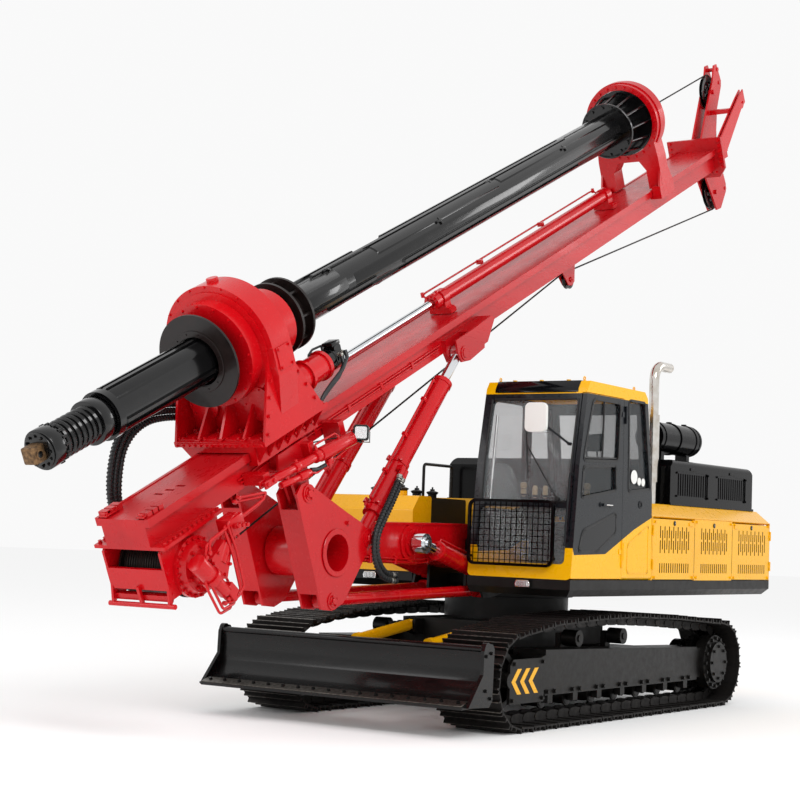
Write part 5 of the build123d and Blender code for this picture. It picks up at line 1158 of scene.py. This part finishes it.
# wedge strip along the front ledge with its bolts, and a cleat between each pair of covers
addPlate(headCovers, ((-415, 58), (415, 58), (400, 84), (-400, 84)), mastSection(1140), 12)
for k in range(15):
    addBolt(headCovers, onMast(1128, -385 + 55 * k, 71), down, 18)
for y in (-210, 0, 210):
    addPlate(headCovers, ((1150, y - 22), (1320, y - 14), (1320, y + 14), (1150, y + 22)), mastFace(95), 14)
for sign in (1, -1):
    out = side * sign
    # bolts along both slanted edges of each side plate
    for s, n in (
        (1200, 130), (1256, 250), (1312, 370), (1362, 480), (1658, 520), (1700, 430), (1755, 310), (1818, 180),
    ):
        addBolt(headCovers, onMast(s, sign * 425, n), out, 22)
    lid = [(1430, 530), (1590, 530), (1590, 700), (1430, 700)]
    addPlate(headCovers, lid, mastSide(487 if sign > 0 else -497), 10)
    for s in (1446, 1574):
        for n in (546, 684):
            addBolt(headCovers, onMast(s, sign * 497, n), out, 18)
    corners = ((1700, 300, 92), (1700, 300, 132), (1780, 345, 140), (1900, 345, 136), (1910, 345, 92))
    addPipe(headCovers, [onMast(s, sign * y, n) for s, y, n in corners], 9)
# filler cap on the housing's crown
addTurned(headCovers, ringProfile(46, 0.1, 34, 5), onMast(1510, 0, 1196), mastOut, 24)
finishPiece(headCovers, "power_head_covers", "head_carriage", [redEnamel])
print("head dressed")

# Boom, bracket and cylinders

bracketTrim = newShape()
for sign in (1, -1):
    out = side * sign
    # raised collar round the boom pin's bore, and keepers on the other pins
    addTurned(bracketTrim, ringProfile(182, 141, 9, 4), mm(3177, sign * 378, 1357), out, 56)
    for x, z, radius in ((3556, 1789, 30), (2764, 1477, 32), (3200, 995, 26)):
        addTurned(bracketTrim, ringProfile(radius, 0.1, 14, 4), mm(x, sign * 387, z), out, 28)
        addBoltRing(bracketTrim, mm(x, sign * 387, z), out, radius + 12, 4, 14, start=0.5)
    addBolt(bracketTrim, mm(3052, sign * 374, 1586), out, 26)
finishPiece(bracketTrim, "bracket_bolts", "bracket", [redEnamel])

boomTrim = newShape()
for sign in (1, -1):
    for drop in (0, 26):
        corners = (
            (1240, 172, 1336), (1300, 178, 1336), (1520, 178, 1318), (1700, 178, 1286), (2300, 178, 1296),
            (2560, 178, 1300), (2600, 150, 1286),
        )
        addPipe(boomTrim, [mm(x, sign * y, z + drop) for x, y, z in corners], 8)
    for x, z in ((1380, 1320), (1600, 1292), (2080, 1280), (2440, 1286)):
        addBox(boomTrim, (x, x + 26), (163, 190) if sign > 0 else (-190, -163), (z - 8, z + 58), edge=2)
    addBoltRing(boomTrim, mm(1870, sign * 205, 1447), side * sign, 86, 4, 16)
finishPiece(boomTrim, "boom_pipes", "boom_arm", [redEnamel])

tiltTrim = newShape()
tiltFoot, tiltHead = mm(2764, 0, 1477), onMast(4030, 0, -262)
tiltRun = (tiltHead - tiltFoot).normalized()
tiltTop = side.cross(tiltRun)
for sign in (1, -1):
    base = tiltFoot + side * sign * 0.286
    for reach in (300, 760):
        for turn in (0.9, 2.2):
            out = (tiltTop * math.sin(turn) + side * math.cos(turn)) * 0.084
            start = base + tiltRun * (reach + 22) / 1000 + out
            addBox(
                tiltTrim, (-20, 20), (-16, 16), (-4, 26), edge=2,
                place=basis(start, tiltRun, out.normalized().cross(tiltRun)),
            )
    addPipe(tiltTrim, [
        base + tiltRun * 0.33 + tiltTop * 0.084, base + tiltRun * 0.33 + tiltTop * 0.115,
        base + tiltRun * 0.42 + tiltTop * 0.112,
        base + tiltRun * 1.56 + tiltTop * 0.112, base + tiltRun * 1.64 + tiltTop * 0.115,
        base + tiltRun * 1.64 + tiltTop * 0.07,
    ], 10)
    for reach in (0.62, 1.02, 1.42):
        addBox(
            tiltTrim, (-16, 16), (-18, 18), (76, 126), edge=2, place=basis(base + tiltRun * reach, tiltRun, side * -1),
        )
    addBoltRing(tiltTrim, base + tiltRun * 1.728, tiltRun, 64, 8, 16)
    addRod(tiltTrim, base + tiltRun * 0.25 + tiltTop * 0.07, base + tiltRun * 0.25 + tiltTop * 0.12, 18, sides=6)
finishPiece(tiltTrim, "tilt_cylinder_trim", "tilt_cylinders", [redEnamel])

luffTrim = newShape()
luffFoot, luffHead = mm(880, 0, 1205), mm(1870, 0, 1447)
luffRun = (luffHead - luffFoot).normalized()
luffTop = side.cross(luffRun) * -1
if luffTop.z < 0:
    luffTop = -luffTop
for sign in (1, -1):
    base = luffFoot + side * sign * 0.281
    addPipe(luffTrim, [
        base + luffRun * 0.2 + luffTop * 0.07, base + luffRun * 0.2 + luffTop * 0.105,
        base + luffRun * 0.28 + luffTop * 0.103,
        base + luffRun * 0.70 + luffTop * 0.103, base + luffRun * 0.75 + luffTop * 0.10,
        base + luffRun * 0.75 + luffTop * 0.07,
    ], 9)
    addRod(luffTrim, base + luffRun * 0.74, base + luffRun * 0.796, 82, sides=32, edge=3)
    addBoltRing(luffTrim, base + luffRun * 0.796, luffRun, 66, 8, 16)
finishPiece(luffTrim, "luff_cylinder_trim", "luff_cylinders", [redEnamel])
print("boom dressed")

# Cab: seals, wiper, mirror, levers, monitor, door handle, labels and seat

cabSizes = {  # window corners in x and z with their corner size, then the slanted front's bends
    "door": (
        (((970, 2700), (474, 2700), (493, 2203), (1122, 2175)), 55),
        (((1112, 2130), (532, 2163), (519, 1955), (1136, 1870)), 30),
        (((508, 1766), (508, 1596), (838, 1432), (1165, 1427), (1097, 1601)), 40),
    ),
    "near": ((((318, 2740), (15, 2740), (-130, 1992), (289, 1955)), 30),),
    "far": (
        (((1000, 2700), (430, 2700), (430, 1760), (1160, 1760), (1122, 2175)), 50),
        (((350, 2700), (15, 2700), (-80, 1992), (350, 1955)), 30),
    ),
    "front": ((1221, 1834), (1188, 2137), (1088, 2690)),
}


def addSeal(shape, corners, corner, y, width, depth, slot=0):  # rubber strip round a window's rounded corners
    count = len(corners)
    line = []
    for k, (x, z) in enumerate(corners):
        before, after = Vector(corners[k - 1]), Vector(corners[(k + 1) % count])
        spot = Vector((x, z))
        first, second = (before - spot).normalized(), (after - spot).normalized()
        for share in (0.0, 0.25, 0.5, 0.75, 1.0):
            start, end = spot + first * corner, spot + second * corner
            line.append(start * (1 - share) ** 2 + spot * 2 * share * (1 - share) + end * share * share)
    for k, spot in enumerate(line):
        after = line[(k + 1) % len(line)]
        run = after - spot
        if run.length < 0.5:
            continue
        middle = mm((spot.x + after.x) / 2, y, (spot.y + after.y) / 2)
        place = basis(middle, (run.x / run.length, 0, run.y / run.length), (0, 1, 0))
        half = run.length / 2 + 2
        addBox(
            shape, (-half, half), (-depth / 2, depth / 2), (-width / 2, width / 2), edge=0, slot=slot, place=place
        )


doorSeals = newShape()
for corners, corner in cabSizes["door"]:
    addSeal(doorSeals, corners, corner, skinY, 22, 8)
# an opaque dark plate over the lower window, partly the glass's own tint and partly a painted shade of the cab behind
# it, then the sliding panes' frames of the upper one
lowerPaneShade = ((514, 1752), (514, 1600), (838, 1438), (1158, 1434), (1093, 1594))
addPlate(doorSeals, lowerPaneShade, sidePlane(skinY + 2), 4, edge=1, slot=1)
addRod(doorSeals, mm(770, 1340, 2190), mm(756, 1340, 2700), 9, sides=8)
addRod(doorSeals, mm(500, 1338, 2225), mm(1110, 1338, 2200), 10, sides=8)
finishPiece(doorSeals, "door_seals", "operator_door", [blackRubber, lidGlass])

cabSeals = newShape()
for corners, corner in cabSizes["near"]:
    addSeal(cabSeals, corners, corner, skinY, 22, 8)
for corners, corner in cabSizes["far"]:
    addSeal(cabSeals, corners, corner, 370, 22, 8)
# rubber up both sides of the windscreen and across its ends
bends = cabSizes["front"]
for y in (446, 1276):
    for (x0, z0), (x1, z1) in zip(bends, bends[1:]):
        addRod(cabSeals, mm(x0 + 2, y, z0), mm(x1 + 2, y, z1), 9, sides=8)
for x, z in (bends[0], bends[-1]):
    addRod(cabSeals, mm(x + 2, 470, z), mm(x + 2, 1252, z), 9, sides=8)
# wiper: pivot, arm and blade across the windscreen
addRod(cabSeals, mm(1216, 1180, 1850), mm(1250, 1180, 1856), 20, sides=16, edge=2)
addRod(cabSeals, mm(1244, 1180, 1856), mm(1206, 860, 2300), 7, sides=8)
addRod(cabSeals, mm(1238, 900, 2020), mm(1176, 820, 2560), 8, sides=8)
finishPiece(cabSeals, "cab_seals", "upper_structure", [blackRubber])

cabTrim = newShape()
visor = ((1062, 2750), (1082, 2750), (1077, 2783), (1034, 2850), (965, 2850), (965, 2840), (1026, 2841), (1064, 2780))
addPlate(cabTrim, visor, sidePlane(1262), 802, edge=2, slot=6)
# mirror glass, lifting eyes on the roof, screws of the grab rail
addPlate(cabTrim, ((930, 2412), (1104, 2412), (1104, 2628), (930, 2628)), frontPlane(1314), 4, edge=1, slot=1)
for x, y, z in ((985, 455, 2843), (985, 1268, 2843), (70, 1268, 2836), (70, 455, 2836)):
    addRod(cabTrim, mm(x, y, z - 6), mm(x, y, z + 10), 16, sides=16, edge=2, slot=2)
    addTurned(cabTrim, wireProfile(15, 5), mm(x, y, z + 26), (0, 1, 0), 20, slot=2)
for x, z in ((1262, 1480), (1199, 2060)):
    addRod(cabTrim, mm(x, 1291, z), mm(x + 6, 1291, z), 18, sides=20, edge=1)
# levers: boots and grips on the side boxes, grips on the travel levers, boot round each stem
levers = {
    "boot": ((34, 0), (30, 16), (24, 20), (26, 30), (18, 40), (12, 60)),
    "grip": ((0.1, 0), (16, 4), (26, 30), (24, 70), (30, 96), (26, 122), (0.1, 128)),
    "travelGrip": ((0.1, 0), (15, 4), (23, 40), (22, 96), (14, 108), (0.1, 110)),
    "travelBoot": ((40, 0), (32, 22), (34, 34), (24, 50), (14, 62)),
}
upright = (0, 0, 1)
for y in (550, 1170):
    addTurned(cabTrim, levers["boot"], mm(700, y, 1780), upright, 20)
    addTurned(cabTrim, levers["grip"], mm(700, y, 1880), upright, 20, slot=3)
for y in (800, 900):
    addTurned(cabTrim, levers["travelGrip"], mm(943, y, 1862), (-0.05, 0, 1), 16, slot=3)
    addTurned(cabTrim, levers["travelBoot"], mm(1002, y, 1258), upright, 16)
# monitor on its stalk, armrest pads' rubber tops and switches
addBox(cabTrim, (1000, 1036), (1050, 1230), (1840, 1960), edge=8)
addBox(cabTrim, (994, 1000), (1062, 1218), (1852, 1948), edge=2, slot=4)
addRod(cabTrim, mm(1018, 1140, 1700), mm(1018, 1140, 1846), 12)
for y in (506, 1126):
    addBox(cabTrim, (262, 660), (y, y + 88), (1781, 1792), edge=3, slot=4)
    for k in range(5):
        addRod(cabTrim, mm(300 + 48 * k, y + 24, 1790), mm(300 + 48 * k, y + 24, 1802), 9, sides=12, slot=1)
# gas strut of the windscreen, up the far pillar
addRod(cabTrim, mm(1090, 462, 2010), mm(1030, 462, 2560), 13, slot=1)
addRod(cabTrim, mm(1122, 462, 1716), mm(1090, 462, 2010), 7, slot=1)
# pressed flap behind the door, its hinge bar, and the plug above it
flap = ((372, 1228), (372, 1500), (100, 1612), (-110, 1690), (-110, 1228))
addSeal(cabTrim, [(x * 0.82 - 22, z * 0.9 + 150) for x, z in flap], 26, skinY, 12, 6, slot=2)
addRod(cabTrim, mm(392, 1356, 1300), mm(392, 1356, 1540), 9, edge=2, slot=2)
addTurned(cabTrim, ringProfile(34, 22, 8, 2), mm(60, 1350, 1850), side, 28)
addRod(cabTrim, mm(60, 1349, 1850), mm(60, 1353, 1850), 22, sides=24)
# door handle's chrome pull
addPipe(cabTrim, [mm(x, y, 1825) for x, y in ((640, 1378), (640, 1384), (740, 1384), (740, 1378))], 5, bend=10, slot=1)
# blank labels inside the quarter window
for x, z, radius in ((176, 2085, 60), (76, 2050, 34), (0, 2046, 34)):
    addRod(cabTrim, mm(x, 1343, z), mm(x, 1346, z), radius, sides=32, slot=5)
finishPiece(
    cabTrim, "cab_trim", "upper_structure",
    [cabPlastic, lampSilver, yellowEnamel, beigeGrip, blackRubber, mirrorBack, lidGlass],
)


def puffed(shape, name, reach):  # closed cushion swollen by the cloth solver, each point's travel capped
    mesh = bpy.data.meshes.new(name)
    shape.to_mesh(mesh)
    shape.free()
    piece = bpy.data.objects.new(name, mesh)
    bpy.context.scene.collection.objects.link(piece)
    remesh = piece.modifiers.new("even", "REMESH")
    remesh.mode = "VOXEL"
    remesh.voxel_size = 0.006
    bpy.context.view_layer.update()
    even = evaluated(piece)
    piece.modifiers.clear()
    piece.data = even
    start = [vertex.co.copy() for vertex in even.vertices]
    cloth = piece.modifiers.new("swell", "CLOTH")
    cloth.settings.use_pressure = True
    cloth.settings.uniform_pressure_force = 4
    cloth.settings.effector_weights.gravity = 0
    cloth.point_cache.frame_end = 20
    scene = bpy.context.scene
    for frameNumber in range(1, 21):
        scene.frame_set(frameNumber)
    swollen = evaluated(piece)
    piece.modifiers.clear()
    piece.data = swollen
    for vertex, before in zip(swollen.vertices, start):
        travel = vertex.co - before
        if travel.length > reach / 1000:
            vertex.co = before + travel.normalized() * reach / 1000
    scene.frame_set(1)
    for face in piece.data.polygons:
        face.use_smooth = True
    piece.data.materials.clear()
    piece.data.materials.append(seatCloth)
    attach(piece, "upper_structure")
    return piece


def cushion(outline, y0, y1, soft):  # rounded closed form from an x, z outline
    shape = newShape()
    addPlate(shape, outline, sidePlane(y1), y1 - y0, edge=0)
    softenEdges(shape, soft, segments=4)
    return shape


seatSizes = {
    "cushion": ((108, 1572), (600, 1572), (606, 1664), (108, 1656)), "cushionY": (630, 1090),
    "back": ((72, 1690), (180, 1680), (66, 2262), (-30, 2236)), "backY": (640, 1080),
    "rest": ((46, 2310), (112, 2310), (90, 2470), (24, 2470)), "restY": (750, 970),
}
puffed(cushion(seatSizes["cushion"], *seatSizes["cushionY"], 26), "seat_cushion", 12)
puffed(cushion(seatSizes["back"], *seatSizes["backY"], 26), "seat_back", 12)
puffed(cushion(seatSizes["rest"], *seatSizes["restY"], 18), "seat_headrest", 8)
seatFrame = newShape()
addBox(seatFrame, (130, 510), (650, 1070), (1340, 1548), edge=14)
for k in range(7):
    addBox(seatFrame, (120, 520), (640, 1080), (1352 + 28 * k, 1366 + 28 * k), edge=4)
addBox(seatFrame, (200, 440), (700, 1020), (1240, 1340), edge=8)
addBox(seatFrame, (96, 606), (622, 1098), (1548, 1570), edge=8)
for y in (800, 904):
    addRod(seatFrame, mm(32, y + 8, 2200), mm(58, y + 8, 2330), 8)
for y in (560, 1110):
    addPlate(seatFrame, ((100, 1852), (420, 1852), (420, 1900), (130, 1904)), sidePlane(y + 48), 46, edge=12)
    addRod(seatFrame, mm(90, y + 24, 1700), mm(110, y + 24, 1860), 14)
finishPiece(seatFrame, "seat_frame", "upper_structure", [cabPlastic], ("seat",))
print("cab dressed")

# Upper body: bolts, latches, filler caps, sight glass, cover rail, straps and lamp lenses

sidePanels = {
    "boltX": (-240, -1030, -1110, -1890, -1965, -2800), "lowBolt": 1222, "highBolt": 1730, "frontBolt": 1712,
    "latchX": (-640, -1500, -2380), "latchZ": 1706,
}
bodyTrim = newShape()
for sign in (1, -1):
    out = side * sign
    for x in sidePanels["boltX"]:
        for z in (sidePanels["lowBolt"], sidePanels["highBolt"] if x < -300 else sidePanels["frontBolt"]):
            addBolt(bodyTrim, mm(x, sign * skinY, z), out, 20)
    # latches: a round cup with its key in the middle
    for x in sidePanels["latchX"]:
        face = mm(x, sign * skinY, sidePanels["latchZ"])
        addRod(bodyTrim, face, face + out * 0.006, 22, sides=20, edge=1, slot=1)
        addRod(bodyTrim, face + out * 0.006, face + out * 0.010, 9, sides=6, slot=2)
fillerCap = ((0.1, 0), (40, 0), (54, 14), (56, 24), (40, 30), (22, 36), (0.1, 38))
for x, y, z in ((838, -620, 1905), (838, -900, 1905), (300, -650, 1890), (560, -650, 1890)):
    addTurned(bodyTrim, fillerCap, mm(x, y, z), upright, 28, slot=1)
    addBox(bodyTrim, (x - 34, x + 34), (y - 6, y + 6), (z + 34, z + 52), edge=5, slot=1)
    addRod(bodyTrim, mm(x, y, z + 36), mm(x, y, z + 70), 8, sides=12, edge=2, slot=1)
# tank sight glass, drain and step treads
addBox(bodyTrim, (1035, 1040), (-520, -490), (1300, 1620), edge=1, slot=2)
for z in (1300, 1420, 1540):
    addBox(bodyTrim, (1036, 1090), (-1200, -980), (z, z + 12), edge=2, slot=3)
    for y in (-1200, -990):
        addBox(bodyTrim, (1036, 1090), (y, y + 10), (z - 26, z), edge=1, slot=3)
# rail along the cover beside the hood
railSpots = [mm(x, -1120, z) for x, z in ((-260, 1877), (-260, 2200), (-760, 2200), (-760, 1877))]
addPipe(bodyTrim, railSpots, 15, bend=80, slot=3)
finishPiece(
    bodyTrim, "body_trim", "upper_structure", [yellowEnamel, blackRubber, zincSteel, frameBlack],
)

hoodTrim = newShape()
for sign in (1, -1):
    for centre in (-1330, -2230):
        for x in (centre - 345, centre + 345):
            for z in (1965, 2180):
                addBolt(hoodTrim, mm(x, sign * 1200, z), side * sign, 16)
        addPlate(hoodTrim, oblong(centre - 60, centre + 60, 2210, 2236), sidePlane(1208 if sign > 0 else -1200), 8)
# straps, cap and inlet of the air cleaner
for x in (-1660, -1330, -1000):
    addTurned(hoodTrim, ringProfile(153, 145, 34, 3), mm(x, 950, 2510), (1, 0, 0), 40)
    addBox(hoodTrim, (x - 4, x + 38), (930, 970), (2652, 2672), edge=3)
addTurned(hoodTrim, ((0.1, 0), (120, 0), (148, -10), (150, -40)), mm(-1750, 950, 2510), (-1, 0, 0), 40)
for k in range(10):
    turn = math.tau * k / 10
    place = Matrix.Translation(mm(0, 950, 2510)) @ Matrix.Rotation(turn, 4, "X")
    addBox(hoodTrim, (-1765, -1752), (-6, 6), (40, 112), edge=1, place=place)
finishPiece(hoodTrim, "hood_trim", "upper_structure", [hoodBlack])

slotShadeSheets = (  # black sheets behind the cooling slots, a painted shade for the dark inside them: body, first and last x, side
    ("upper_structure", -1890, -1110, 1), ("upper_structure", -1890, -1110, -1), ("left_front_door", -1040, -240, 1),
    ("right_front_door", -1040, -240, -1), ("left_rear_door", -2810, -1960, 1), ("right_rear_door", -2810, -1960, -1),
)
for k, (body, x0, x1, sign) in enumerate(slotShadeSheets):
    shadeSheet = newShape()
    y = sign * 1316
    addBox(shadeSheet, (x0, x1), (min(y, y + sign * 5), max(y, y + sign * 5)), (1240, 1700), edge=1)
    finishPiece(shadeSheet, f"slot_shade_sheet_{k}", body, [frameBlack])

lampLenses = newShape()
for x, y in ((1291, 925), (1010, -800)):
    bezel = ((y - 66, 1122), (y + 66, 1122), (y + 72, 1150), (y + 58, 1180), (y - 58, 1180), (y - 72, 1150))
    addPlate(lampLenses, bezel, frontPlane(x + 30), 10, edge=3)
    addPlate(
        lampLenses, [(a * 0.86 + y * 0.14, b * 0.86 + 161) for a, b in bezel], frontPlane(x + 40), 12, edge=5, slot=1
    )
    for k in range(7):
        addRod(lampLenses, mm(x + 46, y - 48 + 16 * k, 1132), mm(x + 46, y - 48 + 16 * k, 1170), 5, sides=6)
finishPiece(lampLenses, "skirt_lamp_lenses", "upper_structure", [lampSilver, clearLens])
print("upper body dressed")

# Blade: rolled front skin, bolted cutting edge, side bolts and eye rings

blade = {
    "front": (
        (2474, 676), (2464, 640), (2458, 580), (2457, 510), (2463, 440), (2481, 380), (2510, 340), (2550, 312),
        (2622, 290), (2700, 268),
    ),
    "half": 1266, "edgeHalf": 1258, "edgeDepth": 110, "edgeThick": 8, "edgePlace": (2745, 0, 250),
    "slope": (0.3, 0, 0.954), "bolts": 17, "firstBolt": -1200, "boltStep": 150,
}
bladeTrim = newShape()
rolled = [(x + 5, z + 1) for x, z in blade["front"]] + [(x - 4, z - 1) for x, z in reversed(blade["front"])]
addPlate(bladeTrim, rolled, sidePlane(blade["half"]), 2 * blade["half"], edge=0)
edgeNormal = Vector(blade["slope"])
for k in range(blade["bolts"]):
    addBolt(bladeTrim, mm(2690, blade["firstBolt"] + blade["boltStep"] * k, 272), edgeNormal, 24)
edgePlane = basis(mm(*blade["edgePlace"]), (0, 1, 0), (-edgeNormal.z, 0, edgeNormal.x))
edgeOutline = oblong(-blade["edgeHalf"], blade["edgeHalf"], 0, blade["edgeDepth"])
addPlate(bladeTrim, edgeOutline, edgePlane, blade["edgeThick"], slot=1)
for sign in (1, -1):
    for x, z in ((2400, 300), (2400, 640), (2470, 360), (2470, 620)):
        addBolt(bladeTrim, mm(x, sign * 1299, z), side * sign, 22)
    addTurned(bladeTrim, ringProfile(46, 0.1, 14, 3), mm(1150, sign * 652, 560), side * sign, 28)
finishPiece(bladeTrim, "blade_trim", "blade", [bladeBlack, polishedShoe])
print("blade dressed")

# Stage: pale floor, soft light, camera

floorShape = bmesh.new()
bmesh.ops.create_circle(floorShape, cap_ends=True, segments=64, radius=90)
floorMesh = bpy.data.meshes.new("floor")
floorShape.to_mesh(floorMesh)
floorShape.free()
floor = bpy.data.objects.new("floor", floorMesh)
bpy.context.scene.collection.objects.link(floor)
floorMaterial, floorTree = startMaterial("matt pale studio floor")
closeMaterial(floorTree, {"Base Color": linear("#FAFAFA"), "Roughness": 1.0, "Specular IOR Level": 0.0}, None)
floorMesh.materials.append(floorMaterial)

world = bpy.data.worlds.new("studio")
bpy.context.scene.world = world
world.use_nodes = True
world.node_tree.nodes["Background"].inputs["Color"].default_value = linear("#FFFFFF")
world.node_tree.nodes["Background"].inputs["Strength"].default_value = 0.95

lamps = (  # name, place in metres, aim, width, watts
    ("key", (9, 12, 11), (0, 0, 1.5), 6, 1000),
    ("fill", (15, -7, 7), (0, 0, 1.5), 6, 420),
    ("rim", (-12, 9, 9), (-1, 0, 2), 5, 350),
)
for name, place, aim, width, watts in lamps:
    light = bpy.data.lights.new(name, "AREA")
    light.shape = "SQUARE"
    light.size = width
    light.energy = watts
    lamp = bpy.data.objects.new(name, light)
    lamp.matrix_world = facing(Vector(place), Vector(place) - Vector(aim))
    bpy.context.scene.collection.objects.link(lamp)

camera = {"place": (14.2366, 8.3940, 1.5068), "yaw": 34.09, "rise": 4.93, "roll": 2.16, "lens": 81.01}
yaw, rise, roll = (math.radians(camera[key]) for key in ("yaw", "rise", "roll"))
ahead = Vector((-math.cos(yaw) * math.cos(rise), -math.sin(yaw) * math.cos(rise), math.sin(rise)))
right = ahead.cross(Vector((0, 0, 1))).normalized()
upward = right.cross(ahead)
rolledRight = right * math.cos(roll) + upward * math.sin(roll)
rolledUp = upward * math.cos(roll) - right * math.sin(roll)
cameraData = bpy.data.cameras.new("camera")
cameraData.lens = camera["lens"]
cameraData.shift_x, cameraData.shift_y = -0.0021, -0.025
cameraData.clip_end = 300
cameraObject = bpy.data.objects.new("camera", cameraData)
turn = Matrix((rolledRight, rolledUp, -ahead)).transposed().to_4x4()
cameraObject.matrix_world = Matrix.Translation(camera["place"]) @ turn
bpy.context.scene.collection.objects.link(cameraObject)
bpy.context.scene.camera = cameraObject
bpy.context.scene.view_settings.view_transform = "Standard"
print("stage set")
